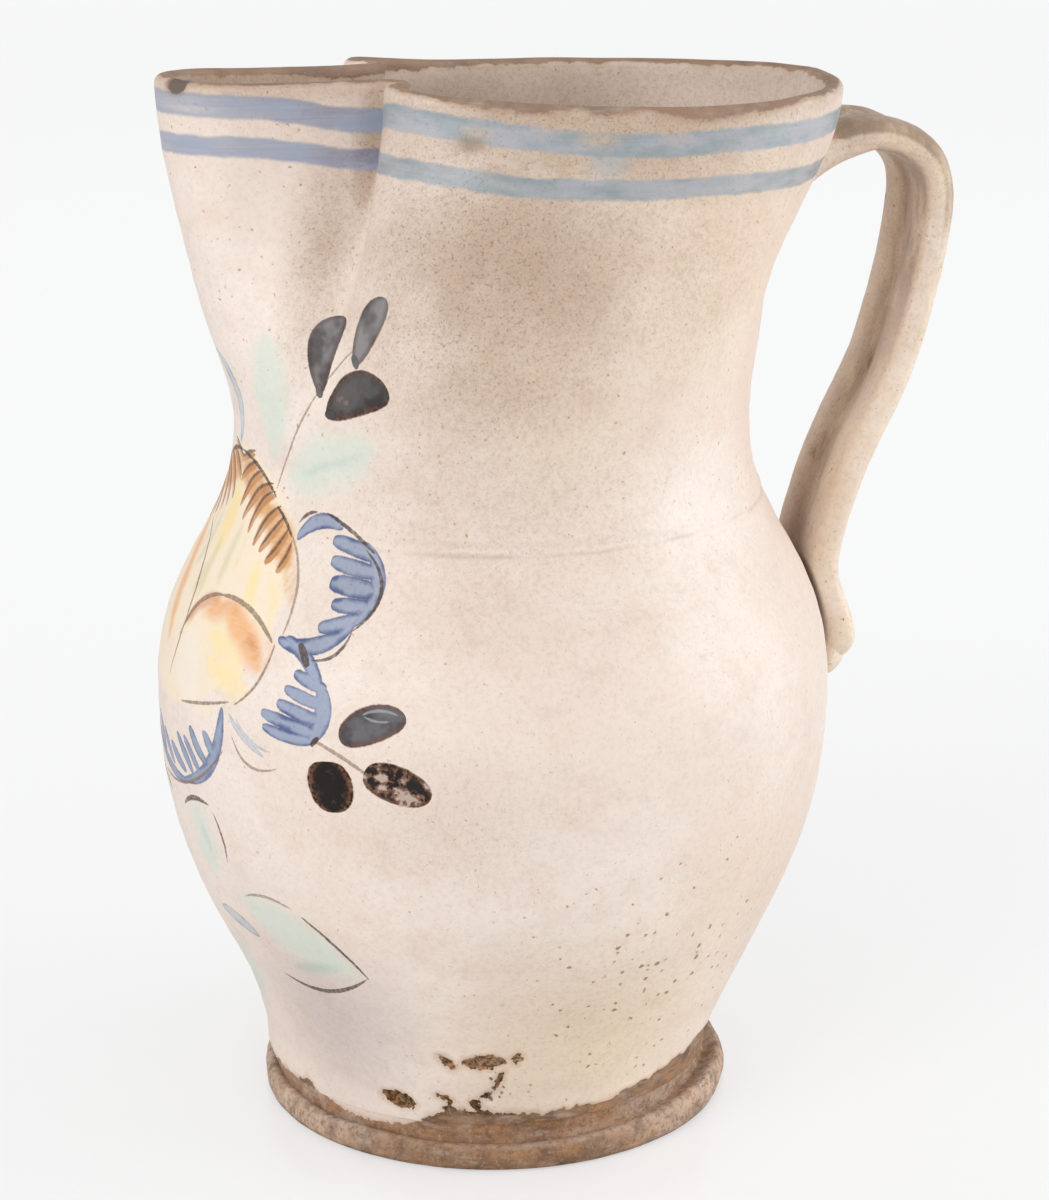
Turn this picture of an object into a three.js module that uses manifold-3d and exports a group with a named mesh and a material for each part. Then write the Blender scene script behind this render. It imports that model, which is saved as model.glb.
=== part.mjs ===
// Maiolica jug: a thrown earthenware pitcher with a pinched mouth, a strap handle and a disc foot.
// Millimetres, +Z up. The origin is the centre of the flat underside, the spout points along -X
// and the handle along +X. Six pieces of clay, joined wet and fired together, so nothing moves.
import * as THREE from "three";
import { mergeVertices } from "three/addons/utils/BufferGeometryUtils.js";
import Module from "manifold-3d";

// Disc foot: a flat pad of clay with a rounded flange that stands a little proud of the wall
const FOOT_RADIUS = 55.4;
const FOOT_HEIGHT = 11;
const FOOT_UNDERCUT = 2.2;
const FLANGE_MIDDLE = 4;
const FLANGE_TOP = 7.6;
const FLANGE_ROUNDING = 1.6;

// Belly: the thrown lower wall, from the foot up to the ring where the neck is set on
const BASE_RADIUS = 52.2;
const BELLY_RADIUS = 78.4;
const BELLY_HEIGHT = 101;
const BASE_FLARE = 7;
const BASE_RISE = 33.8;
const BELLY_HANDLE_DOWN = 45.4;
const BELLY_HANDLE_UP = 31.6;
const SEAM_HEIGHT = 147;
const WALL = 5;
const FLOOR = 6;
const FLOOR_ROUNDING = 9;

// Neck: the waist, the throat above it and the rim, which rises towards the spout
const WAIST_RADIUS = 59;
const WAIST_HEIGHT = 165;
const WAIST_HANDLE_DOWN = 28.9;
const THROAT_RADIUS = 62;
const THROAT_HEIGHT = 204;
const THROAT_HANDLE = 22;
const WAIST_HANDLE_UP = 13;
const RIM_HEIGHT = 241.6;
const RIM_SLOPE = 0.022;
const RIM_SAG = 2;
const RIM_WALL = 4.4;
const SPOUT_PINCH = 160;
const BACK_PINCH_DROP = 50.6;
const PINCH_SPREAD = 1.18;

// Mouth seen from above: a narrow spout, a crease pinched in on either side and a wide back lobe
const SPOUT_REACH = 75;
const SPOUT_HALF_WIDTH = 15.5;
const SPOUT_NOSE = 15;
const CREASE_REACH = 25.5;
const CREASE_HALF_WIDTH = 13.2;
const FOLD_REACH = 28.8;
const FOLD_HALF_WIDTH = 21;
const FOLD_ROUNDING = 6;
const CREASE_ROUNDING = 4.2;
const CREASE_PINCH = 11.6;
const FOLD_HANDLE = 14;
const LOBE_MIDDLE = 31.2;
const LOBE_HALF_WIDTH = 49.5;
const LOBE_HANDLE = 38;
const BACK_REACH = 80;

// Strap handle: pulled flat with a thumb groove, from below the rim down on to the belly
const STRAP_WIDTH = 29;
const STRAP_THICKNESS = 10;
const STRAP_GROOVE = 1.8;
const STRAP_GROOVE_HALF_WIDTH = 9;
const STRAP_SQUARENESS = 0.5;
const HANDLE_DROP = 17.5;
const HANDLE_OUT = 23.3;
const HANDLE_CROWN_RISE = 3.8;
const HANDLE_SHOULDER = 15;
const HANDLE_BOW = 2;
const UPPER_ARM = 0.42;
const LOWER_ARM = 0.68;
const LANDING_HEIGHT = 122;
const KNEE_RISE = 8;
const KNEE_DIP = 1.2;
const TAIL_DROP = 22;
const TAIL_PRESS = 1.5;

// The strap's turn over its crown, as shares of its reach outwards and of its drop to the shoulder
const CROWN_TURN = [[0.12, 0], [0.6, 0.08], [0.93, 0.5], [1, 1]];

// Clay wads smeared around the two ends of the strap
const UPPER_WAD = new THREE.Vector3(10, 20.5, 12.5);
const UPPER_WAD_DROP = 1.5;
const LOWER_WAD = new THREE.Vector3(6.4, 18.5, 8);

// Clearance kept between pieces that follow each other's curved faces
const CLEARANCE = 0.3;

// Share of a corner at which a curve's handle makes it round
const ROUND = 0.55;

// Fineness of the round surfaces
const AROUND = 48;
const WALL_STEPS = 5;
const NECK_STEPS = 11;
const LIP_STEPS = 4;
const STRAP_STEPS = 26;
const STRAP_SIDES = 14;
const WAD_AROUND = 16;
const WAD_DOWN = 12;
const MOUTH_STEPS = [5, 7, 4, 9, 7];
const HALVINGS = 40;

const wasm = await Module();
wasm.setup();

const point = (x, y) => new THREE.Vector2(x, y);

// Outer wall of the pot as it leaves the wheel: base, belly, waist and throat as three smooth curves
const lowerWall = new THREE.CubicBezierCurve(
  point(BASE_RADIUS, FOOT_HEIGHT),
  point(BASE_RADIUS + BASE_FLARE, FOOT_HEIGHT + BASE_RISE),
  point(BELLY_RADIUS, BELLY_HEIGHT - BELLY_HANDLE_DOWN),
  point(BELLY_RADIUS, BELLY_HEIGHT),
);
const shoulderWall = new THREE.CubicBezierCurve(
  point(BELLY_RADIUS, BELLY_HEIGHT),
  point(BELLY_RADIUS, BELLY_HEIGHT + BELLY_HANDLE_UP),
  point(WAIST_RADIUS, WAIST_HEIGHT - WAIST_HANDLE_DOWN),
  point(WAIST_RADIUS, WAIST_HEIGHT),
);
const throatWall = new THREE.CubicBezierCurve(
  point(WAIST_RADIUS, WAIST_HEIGHT),
  point(WAIST_RADIUS, WAIST_HEIGHT + WAIST_HANDLE_UP),
  point(THROAT_RADIUS, THROAT_HEIGHT - THROAT_HANDLE),
  point(THROAT_RADIUS, THROAT_HEIGHT),
);

// Radius of that wall at a height, found by halving along the curve that passes it
function wallRadius(height) {
  if (height >= THROAT_HEIGHT) return THROAT_RADIUS;
  const upper = height > WAIST_HEIGHT ? throatWall : shoulderWall;
  const curve = height > BELLY_HEIGHT ? upper : lowerWall;
  let low = 0;
  let high = 1;
  for (let round = 0; round < HALVINGS; round += 1) {
    const middle = (low + high) / 2;
    if (curve.getPoint(middle).y < height) low = middle;
    else high = middle;
  }
  return curve.getPoint(low).x;
}

const steps = (from, to, count) =>
  Array.from({ length: count + 1 }, (_, index) => from + ((to - from) * index) / count);

// A profile of radius and height turned about the vertical axis
function turned(profile, segments = AROUND) {
  return new THREE.LatheGeometry(profile, segments).rotateX(Math.PI / 2);
}

// Half of the mouth's outline, from the nose of the spout round to the middle of the back
function mouthHalf() {
  const half = new THREE.Path();
  const noseEnd = SPOUT_NOSE - SPOUT_REACH;
  half.moveTo(-SPOUT_REACH, 0);
  half.bezierCurveTo(
    -SPOUT_REACH, SPOUT_HALF_WIDTH * ROUND,
    noseEnd - SPOUT_NOSE * ROUND, SPOUT_HALF_WIDTH,
    noseEnd, SPOUT_HALF_WIDTH,
  );
  half.bezierCurveTo(
    (noseEnd - CREASE_REACH) / 2, SPOUT_HALF_WIDTH,
    -CREASE_REACH, CREASE_PINCH,
    -CREASE_REACH, CREASE_HALF_WIDTH,
  );
  half.bezierCurveTo(
    -CREASE_REACH, CREASE_HALF_WIDTH + CREASE_ROUNDING,
    -FOLD_REACH, FOLD_HALF_WIDTH - FOLD_ROUNDING,
    -FOLD_REACH, FOLD_HALF_WIDTH,
  );
  half.bezierCurveTo(
    -FOLD_REACH, FOLD_HALF_WIDTH + FOLD_HANDLE,
    LOBE_MIDDLE - LOBE_HANDLE, LOBE_HALF_WIDTH,
    LOBE_MIDDLE, LOBE_HALF_WIDTH,
  );
  half.bezierCurveTo(
    LOBE_MIDDLE + (BACK_REACH - LOBE_MIDDLE) * ROUND, LOBE_HALF_WIDTH,
    BACK_REACH, LOBE_HALF_WIDTH * ROUND,
    BACK_REACH, 0,
  );
  return half;
}

// The whole outline as stations. Each one holds its place on the rim, the outward direction there
// and the angle it had on the round pot, where the clay of the spout was drawn from a narrower part.
function mouthStations() {
  const half = [point(-SPOUT_REACH, 0)];
  mouthHalf().curves.forEach((curve, index) => {
    half.push(...curve.getPoints(MOUTH_STEPS[index]).slice(1));
  });
  const nearSide = half.map((spot) => point(spot.x, -spot.y));
  const farSide = half.slice(1, -1).reverse();
  const ring = nearSide.concat(farSide);
  const travelled = [0];
  ring.forEach((spot, index) => {
    const next = ring[(index + 1) % ring.length];
    travelled.push(travelled[index] + spot.distanceTo(next));
  });
  return ring.map((spot, index) => {
    const before = ring[(index + ring.length - 1) % ring.length];
    const after = ring[(index + 1) % ring.length];
    const along = after.clone().sub(before).normalize();
    const share = (2 * travelled[index]) / travelled[ring.length];
    const turn = share < 1 ? share ** PINCH_SPREAD : 2 - (2 - share) ** PINCH_SPREAD;
    return { spot, outward: point(along.y, -along.x), angle: Math.PI * (1 + turn) };
  });
}
const mouth = mouthStations();

// The rim rises towards the spout and sags at the sides of the back lobe
const rimHeightAt = (spot) => RIM_HEIGHT - RIM_SLOPE * spot.x - RIM_SAG * (spot.y / LOBE_HALF_WIDTH) ** 2;

// How far the wall has left its round shape: the spout bends out lower down than the back does
function pinchAt(height, angle) {
  const backPinch = RIM_HEIGHT - BACK_PINCH_DROP;
  const start = THREE.MathUtils.lerp(SPOUT_PINCH, backPinch, (1 + Math.cos(angle)) / 2);
  return THREE.MathUtils.smoothstep(height, start, RIM_HEIGHT);
}

// A point of the neck: at a station, at a height on the round pot, and so far in from the outer face
function neckPoint(station, height, inset) {
  const { spot, outward, angle } = station;
  const radius = wallRadius(height) - inset;
  const pinch = pinchAt(height, angle);
  const x = THREE.MathUtils.lerp(radius * Math.cos(angle), spot.x - inset * outward.x, pinch);
  const y = THREE.MathUtils.lerp(radius * Math.sin(angle), spot.y - inset * outward.y, pinch);
  const stretch = (rimHeightAt(spot) - SEAM_HEIGHT) / (RIM_HEIGHT - SEAM_HEIGHT);
  return new THREE.Vector3(x, y, SEAM_HEIGHT + (height - SEAM_HEIGHT) * stretch);
}

// A thrown ring or plug pressed into the mouth's shape: the profile lists height and inset pairs,
// and an inset of Infinity stands for the axis
function pinched(profile) {
  const round = profile.map(({ height, inset }) => point(Math.max(0, wallRadius(height) - inset), height));
  const geometry = turned(round, mouth.length);
  const place = geometry.getAttribute("position");
  for (let turn = 0; turn <= mouth.length; turn += 1) {
    profile.forEach(({ height, inset }, row) => {
      const spot = neckPoint(mouth[turn % mouth.length], height, inset === Infinity ? 0 : inset);
      if (inset === Infinity) spot.set(0, 0, height);
      place.setXYZ(turn * profile.length + row, spot.x, spot.y, spot.z);
    });
  }
  return geometry;
}

// Booleans: geometry to a solid and back
function solid(geometry) {
  const bare = geometry.clone();
  bare.deleteAttribute("normal");
  bare.deleteAttribute("uv");
  const merged = mergeVertices(bare, 1e-4);
  return new wasm.Manifold(new wasm.Mesh({
    numProp: 3,
    vertProperties: new Float32Array(merged.getAttribute("position").array),
    triVerts: new Uint32Array(merged.getIndex().array),
  }));
}
function geometryOf(shape) {
  const mesh = shape.getMesh();
  const geometry = new THREE.BufferGeometry();
  geometry.setAttribute("position", new THREE.BufferAttribute(new Float32Array(mesh.vertProperties), 3));
  geometry.setIndex(new THREE.BufferAttribute(new Uint32Array(mesh.triVerts), 1));
  return geometry;
}

// Disc foot, with a shallow channel between its flange and the wall above
function footGeometry() {
  const edge = new THREE.Path();
  edge.moveTo(0, 0);
  edge.lineTo(FOOT_RADIUS - FOOT_UNDERCUT, 0);
  edge.quadraticCurveTo(FOOT_RADIUS, 0, FOOT_RADIUS, FLANGE_MIDDLE);
  edge.quadraticCurveTo(FOOT_RADIUS, FLANGE_TOP, FOOT_RADIUS - FLANGE_ROUNDING, FLANGE_TOP);
  edge.quadraticCurveTo(BASE_RADIUS, FLANGE_TOP, BASE_RADIUS, FOOT_HEIGHT);
  edge.lineTo(0, FOOT_HEIGHT);
  return turned(edge.getPoints(3));
}

// Belly with its floor. It sits flat on the foot and carries the neck on its flat upper edge.
function bellyGeometry() {
  const insideFloor = FOOT_HEIGHT + FLOOR;
  const lowest = insideFloor + FLOOR_ROUNDING;
  const outside = [
    ...steps(FOOT_HEIGHT, BELLY_HEIGHT, WALL_STEPS),
    ...steps(BELLY_HEIGHT, SEAM_HEIGHT, WALL_STEPS).slice(1),
  ].map((height) => point(wallRadius(height), height));
  const inside = [
    ...steps(SEAM_HEIGHT, BELLY_HEIGHT, WALL_STEPS - 1),
    ...steps(BELLY_HEIGHT, lowest, WALL_STEPS - 1).slice(1),
  ].map((height) => point(wallRadius(height) - WALL, height));
  const corner = wallRadius(lowest) - WALL;
  const rounding = new THREE.QuadraticBezierCurve(
    point(corner, lowest),
    point(corner - FLOOR_ROUNDING * (1 - ROUND), insideFloor),
    point(corner - FLOOR_ROUNDING, insideFloor),
  );
  const profile = [point(0, FOOT_HEIGHT), ...outside, ...inside, ...rounding.getPoints(3).slice(1)];
  return turned([...profile, point(0, insideFloor)]);
}

// Neck: wall thinning towards a rounded lip, pinched into the spout and the back lobe
function neckGeometry() {
  const lipRadius = RIM_WALL / 2;
  const lipBase = RIM_HEIGHT - lipRadius;
  const heights = steps(SEAM_HEIGHT, lipBase, NECK_STEPS);
  const outside = heights.map((height) => ({ height, inset: 0 }));
  const lip = steps(0, Math.PI, LIP_STEPS).slice(1, -1).map((turn) => ({
    height: lipBase + lipRadius * Math.sin(turn),
    inset: lipRadius * (1 - Math.cos(turn)),
  }));
  const inside = heights.filter((_, index) => index % 2 === 1).reverse().map((height) => ({
    height,
    inset: THREE.MathUtils.mapLinear(height, SEAM_HEIGHT, lipBase, WALL, RIM_WALL),
  }));
  const profile = [...outside, ...lip, ...inside, { height: SEAM_HEIGHT, inset: WALL }];
  return pinched([...profile, { height: SEAM_HEIGHT, inset: 0 }]);
}

// Plugs the size of the pot's outside plus the clearance, which trim the handle's clay to the wall
function bellyPlug() {
  const sides = [
    ...steps(FOOT_HEIGHT, BELLY_HEIGHT, WALL_STEPS),
    ...steps(BELLY_HEIGHT, SEAM_HEIGHT, WALL_STEPS).slice(1),
  ].map((height) => point(wallRadius(height) + CLEARANCE, height));
  return solid(turned([point(0, FOOT_HEIGHT), ...sides, point(0, SEAM_HEIGHT)]));
}
function neckPlug() {
  const lipBase = RIM_HEIGHT - RIM_WALL / 2;
  const heights = [...steps(SEAM_HEIGHT, lipBase, NECK_STEPS), RIM_HEIGHT];
  const sides = heights.map((height) => ({ height, inset: -CLEARANCE }));
  const bottom = { height: SEAM_HEIGHT, inset: Infinity };
  return solid(pinched([bottom, ...sides, { height: RIM_HEIGHT, inset: Infinity }]));
}

// The strap's middle line, in the plane of spout and handle
const backStation = mouth.reduce((best, station) => (station.spot.x > best.spot.x ? station : best));
const rootHeight = RIM_HEIGHT - HANDLE_DROP;
const rootWall = neckPoint(backStation, rootHeight, 0);
const tailHeight = LANDING_HEIGHT - TAIL_DROP;
function strapLine() {
  const crown = BACK_REACH + HANDLE_OUT;
  const crownHeight = rootWall.z + HANDLE_CROWN_RISE;
  const shoulderHeight = crownHeight - HANDLE_SHOULDER;
  const landing = wallRadius(LANDING_HEIGHT) + STRAP_THICKNESS / 2;
  const arm = (share, bow) => new THREE.Vector3(
    THREE.MathUtils.lerp(crown, landing, share) + bow,
    0,
    THREE.MathUtils.lerp(shoulderHeight, LANDING_HEIGHT, share),
  );
  const tail = (height) => {
    const outside = wallRadius(height) + STRAP_THICKNESS / 2 - TAIL_PRESS;
    return new THREE.Vector3(outside, 0, height);
  };
  return new THREE.CatmullRomCurve3([
    new THREE.Vector3(rootWall.x - RIM_WALL, 0, rootWall.z),
    ...CROWN_TURN.map(([out, down]) => new THREE.Vector3(
      BACK_REACH + HANDLE_OUT * out,
      0,
      crownHeight - HANDLE_SHOULDER * down,
    )),
    arm(UPPER_ARM, HANDLE_BOW),
    arm(LOWER_ARM, -HANDLE_BOW),
    new THREE.Vector3(landing - KNEE_DIP, 0, LANDING_HEIGHT + KNEE_RISE),
    tail(LANDING_HEIGHT),
    tail((LANDING_HEIGHT + tailHeight) / 2),
    tail(tailHeight),
  ]);
}

// Section of the strap: rounded edges and a shallow groove down the middle of either face
function strapSection(grown) {
  const side = STRAP_WIDTH / 2 + grown;
  const face = STRAP_THICKNESS / 2 + grown;
  const outline = Array.from({ length: STRAP_SIDES }, (_, index) => {
    const turn = (index / STRAP_SIDES) * Math.PI * 2;
    const across = side * Math.cos(turn);
    const dip = STRAP_GROOVE * Math.max(0, 1 - (across / STRAP_GROOVE_HALF_WIDTH) ** 2);
    const height = face * Math.abs(Math.sin(turn)) ** STRAP_SQUARENESS - dip;
    return point(across, height * Math.sign(Math.sin(turn)));
  });
  return new THREE.Shape(outline);
}
function strapSweep(grown) {
  const sweep = { steps: STRAP_STEPS, extrudePath: strapLine() };
  return solid(new THREE.ExtrudeGeometry(strapSection(grown), sweep));
}

// Wads: rounded lumps of clay centred on the wall, trimmed to the wall and round the strap
function wad(size, centre, trims) {
  const lump = new THREE.SphereGeometry(1, WAD_AROUND, WAD_DOWN).scale(size.x, size.y, size.z);
  const placed = solid(lump.translate(centre.x, centre.y, centre.z));
  return trims.reduce((rest, trim) => rest.subtract(trim), placed);
}

const bellyTrim = bellyPlug();
const neckTrim = neckPlug();
const strapTrim = strapSweep(CLEARANCE);
const upperCentre = neckPoint(backStation, rootHeight - UPPER_WAD_DROP, 0);
const lowerCentre = new THREE.Vector3(wallRadius(tailHeight), 0, tailHeight);
const strap = strapSweep(0).subtract(neckTrim).subtract(bellyTrim);
const upperWad = wad(UPPER_WAD, upperCentre, [neckTrim, strapTrim]);
const lowerWad = wad(LOWER_WAD, lowerCentre, [bellyTrim, strapTrim]);

const glaze = (color) => new THREE.MeshStandardMaterial({ color, roughness: 0.38, metalness: 0 });
const bareClay = new THREE.MeshStandardMaterial({ color: "#7d6552", roughness: 0.82, metalness: 0 });

const jug = new THREE.Group();
function add(name, geometry, material) {
  const mesh = new THREE.Mesh(geometry, material);
  mesh.name = name;
  jug.add(mesh);
}
add("foot", footGeometry(), bareClay);
add("belly", bellyGeometry(), glaze("#d9c8b9"));
add("neck", neckGeometry(), glaze("#d3c0b0"));
add("handle_strap", geometryOf(strap), glaze("#c4ad99"));
add("upper_handle_luting", geometryOf(upperWad), glaze("#c9b3a0"));
add("lower_handle_luting", geometryOf(lowerWad), glaze("#bda792"));

export default jug;
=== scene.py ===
import math

import bpy
import numpy as np
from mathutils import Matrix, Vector, noise


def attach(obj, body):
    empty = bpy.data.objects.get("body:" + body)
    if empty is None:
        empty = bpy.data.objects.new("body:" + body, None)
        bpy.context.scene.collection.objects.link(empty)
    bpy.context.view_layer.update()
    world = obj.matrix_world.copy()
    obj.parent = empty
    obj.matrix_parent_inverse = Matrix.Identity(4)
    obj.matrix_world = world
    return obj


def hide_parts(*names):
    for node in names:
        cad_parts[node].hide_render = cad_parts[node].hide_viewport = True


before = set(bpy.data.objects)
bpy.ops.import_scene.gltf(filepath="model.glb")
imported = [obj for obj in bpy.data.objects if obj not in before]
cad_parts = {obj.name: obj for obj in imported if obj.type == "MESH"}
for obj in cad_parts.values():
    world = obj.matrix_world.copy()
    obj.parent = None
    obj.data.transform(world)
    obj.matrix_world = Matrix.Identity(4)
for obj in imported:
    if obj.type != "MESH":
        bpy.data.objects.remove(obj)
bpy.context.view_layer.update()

# Disc foot.
# A pad of bare brown earthenware under the pot, thrown thick and pressed out into a flange.
# It was left without glaze, so it is rough, stained and uneven, and a little glaze has run on to it.
FOOT_COLUMNS = 400
FOOT_ROWS = 84
FOOT_TOP = 11.0
FOOT_EDGE = [
    (12, 0), (48, 0), (53.8, 0), (55, 0.4), (55.5, 1.3), (55.7, 2.8), (55.6, 4.4), (55.2, 5.6), (54.6, 6.2),
    (53.9, 6.3), (53.2, 6.1), (52.5, 5.95), (51.9, 6.2), (51.6, 7), (51.5, 8.6), (51.8, 10.2), (52.1, 11),
    (44, 11), (12, 11),
]
WALL_LEAN = 1.7
FLANGE_LIFT = [
    (-220, 0.6), (-120, 0.4), (-20, 0.3), (20, 0.1), (110, 0), (140, 0.6), (172, 2), (200, 1.6), (220, 0.6),
]
GLAZE_RUN = [
    (-220, 40), (30, 14), (37, 10.4), (44, 8.6), (56, 7.9), (66, 8.8), (72, 10.4), (80, 14), (220, 40),
]
CLAY_BROWN = (0.33, 0.195, 0.115, 1)
CLAY_DARK = (0.15, 0.088, 0.054, 1)
CLAY_ORANGE = (0.46, 0.235, 0.105, 1)
CLAY_GREY = (0.47, 0.35, 0.265, 1)
CLAY_DUST = (0.36, 0.275, 0.225, 1)
WRAP_RADIUS = 70.0
MM = 0.001
MATTE_SHEEN = 0.1
GLAZE_SHEEN = 0.5


def rough(points, size, seed, octaves=3):
    """Smooth noise from about -1 to 1 at each point, with lumps about `size` mm across."""
    shift = Vector((17.3 * seed, 5.1 * seed, 9.7 * seed))
    flat = points.reshape(-1, 3) / size
    values = [noise.fractal(Vector(spot) + shift, 0.8, 2.0, octaves) for spot in flat]
    return np.array(values).reshape(points.shape[:-1])


def smooth(share):
    share = np.clip(share, 0, 1)
    return share * share * (3 - 2 * share)


def along(rows, count):
    """A run of points through `rows`, spaced evenly along its length."""
    rows = np.array(rows, float)
    reach = np.concatenate([[0], np.cumsum(np.linalg.norm(np.diff(rows, axis=0), axis=1))])
    places = np.linspace(0, reach[-1], count)
    return np.stack([np.interp(places, reach, column) for column in rows.T], -1)


def placed(name, data):
    """A new object of the scene with the given data."""
    item = bpy.data.objects.new(name, data)
    bpy.context.collection.objects.link(item)
    return item


def read_off(rows, places):
    return np.interp(places, *np.array(rows).T)


def piece_from(name, points, faces, material):
    """A smooth mesh piece of the jug from points in millimetres."""
    mesh = bpy.data.meshes.new(name)
    mesh.from_pydata((points * MM).tolist(), [], faces)
    mesh.shade_smooth()
    mesh.set_sharp_from_angle(angle=math.radians(60))
    mesh.materials.append(material)
    return placed(name, mesh)


def skin(name, grid, around, height, cover, material, ring=False, wash=None):
    """A closed skin over rows and columns. A ring joins its last row to its first; any other skin
    ends in a pole at either end. Its UV map holds the wrap, its cover is how deep in the glaze it lies,
    and its wash is the thin colour laid over it: brushed paint on the belly and neck, and on the foot
    stains with painted light and shade."""
    rows, columns = grid.shape[:2]
    number = np.arange(rows * columns).reshape(rows, columns)
    low = number if ring else number[:-1]
    high = np.roll(number, -1, 0) if ring else number[1:]
    quads = np.stack([low, np.roll(low, -1, 1), np.roll(high, -1, 1), high], -1).reshape(-1, 4)
    faces = quads.tolist()
    points = grid.reshape(-1, 3)
    heights = height.reshape(-1)
    covers = cover.reshape(-1)
    edge = np.append(around, around[0] + 2 * math.pi * WRAP_RADIUS)
    sides = np.stack([edge[:-1], edge[1:], edge[1:], edge[:-1]], -1)
    wrap = np.tile(sides, (low.shape[0], 1)).reshape(-1)
    corners = quads.reshape(-1)
    if not ring:
        poles = (rows * columns, rows * columns + 1)
        points = np.concatenate([points, [grid[0].mean(0), grid[-1].mean(0)]])
        heights = np.append(heights, [heights[0], heights[-1]])
        covers = np.append(covers, [covers[0], covers[-1]])
        first = np.stack([np.full(columns, poles[0]), np.roll(number[0], -1), number[0]], -1)
        last = np.stack([number[-1], np.roll(number[-1], -1), np.full(columns, poles[1])], -1)
        faces += first.tolist() + last.tolist()
        middle = (edge[:-1] + edge[1:]) / 2
        wrap = np.concatenate([
            wrap,
            np.stack([middle, edge[1:], edge[:-1]], -1).reshape(-1),
            np.stack([edge[:-1], edge[1:], middle], -1).reshape(-1),
        ])
        corners = np.concatenate([corners, first.reshape(-1), last.reshape(-1)])
    piece = piece_from(name, points, faces, material)
    layer = piece.data.uv_layers.new(name="wrap")
    layer.uv.foreach_set("vector", np.stack([wrap, heights[corners]], -1).astype(np.float32).reshape(-1))
    field = piece.data.attributes.new("cover", "FLOAT", "POINT")
    field.data.foreach_set("value", covers.astype(np.float32))
    if wash is not None:
        colours = np.zeros((len(points), 4), np.float32)
        colours[:rows * columns] = wash.reshape(-1, 4)
        field = piece.data.attributes.new("wash", "FLOAT_COLOR", "POINT")
        field.data.foreach_set("color", colours.reshape(-1))
    return piece


def add(kind, inputs, **settings):
    """Adds a node to the tree in hand; each input is a value or another node's output."""
    item = tree.nodes.new(kind if kind.startswith("GeometryNode") else "ShaderNode" + kind)
    for key, value in settings.items():
        setattr(item, key, value)
    for key, value in inputs.items():
        if isinstance(value, bpy.types.NodeSocket):
            tree.links.new(value, item.inputs[key])
        else:
            item.inputs[key].default_value = value
    return item


def calc(operation, *terms):
    return add("Math", dict(enumerate(terms)), operation=operation).outputs[0]


def times(product, *terms):
    for term in terms:
        product = calc("MULTIPLY", product, term)
    return product


def scaled(value, by, plus):
    return calc("MULTIPLY_ADD", value, by, plus)


def ramp(value, low, high, bottom=0.0, top=1.0):
    levels = {0: value, 1: low, 2: high, 3: bottom, 4: top}
    return add("MapRange", levels, interpolation_type="SMOOTHSTEP").outputs[0]


def blend(factor, under, over, mode="MIX"):
    return add("Mix", {0: factor, 6: under, 7: over}, data_type="RGBA", blend_type=mode).outputs[2]


def grain(vector, scale, detail=3.0, rough_share=0.55):
    levels = {"Vector": vector, "Scale": scale, "Detail": detail, "Roughness": rough_share}
    return add("TexNoise", levels).outputs[0]


def cells(vector, scale):
    """Distance to the nearest of scattered points, and a random value that each of them keeps."""
    spots = add("TexVoronoi", {"Vector": vector, "Scale": scale})
    return spots.outputs["Distance"], add("SeparateColor", {0: spots.outputs["Color"]}).outputs[0]


def moved(operation, *terms):
    return add("VectorMath", dict(enumerate(terms)), operation=operation).outputs[0]


def stretched(vector, by):
    return moved("MULTIPLY", vector, by)


def stored(name):
    return add("Attribute", {}, attribute_name=name).outputs["Fac"]


def node_group(name, inputs, outputs, family="ShaderNodeTree"):
    """Takes a new node group in hand and gives its inputs and outputs."""
    global tree
    tree = bpy.data.node_groups.new(name, family)
    for label, kind in inputs:
        tree.interface.new_socket(label, in_out="INPUT", socket_type="NodeSocket" + kind)
    for label, kind in outputs:
        tree.interface.new_socket(label, in_out="OUTPUT", socket_type="NodeSocket" + kind)
    return tree.nodes.new("NodeGroupInput").outputs, tree.nodes.new("NodeGroupOutput").inputs


# Bare clay: brown, with orange and grey streaks left by turning, dark stains and grit
given, out = node_group(
    "clay_body",
    [("Point", "Vector"), ("Wrap", "Vector"), ("Dust", "Float")],
    [("Color", "Color"), ("Roughness", "Float"), ("Height", "Float")],
)
point = given["Point"]
streaks = grain(stretched(given["Wrap"], (0.09, 0.36, 1)), 1.0, 5.0, 0.65)
clouds = grain(point, 0.11, 4.0)
crumbs = grain(point, 0.75, 4.0, 0.65)
grit_far, grit_kind = cells(point, 1.5)
colour = blend(ramp(clouds, 0.36, 0.62), CLAY_DARK, CLAY_BROWN)
colour = blend(ramp(streaks, 0.48, 0.68, 0, 0.8), colour, CLAY_ORANGE)
colour = blend(ramp(streaks, 0.50, 0.30, 0, 0.8), colour, CLAY_GREY)
colour = blend(ramp(crumbs, 0.46, 0.30, 0, 0.6), colour, CLAY_DARK)
pale_grit = times(ramp(grit_far, 0.36, 0.22), ramp(grit_kind, 0.84, 0.90, 0, 0.5))
colour = blend(pale_grit, colour, CLAY_GREY)
colour = blend(given["Dust"], colour, CLAY_DUST)
tree.links.new(colour, out["Color"])
tree.links.new(ramp(crumbs, 0.3, 0.7, 0.72, 0.92), out["Roughness"])
tree.links.new(scaled(streaks, 0.6, crumbs), out["Height"])
clay_body = tree

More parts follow.
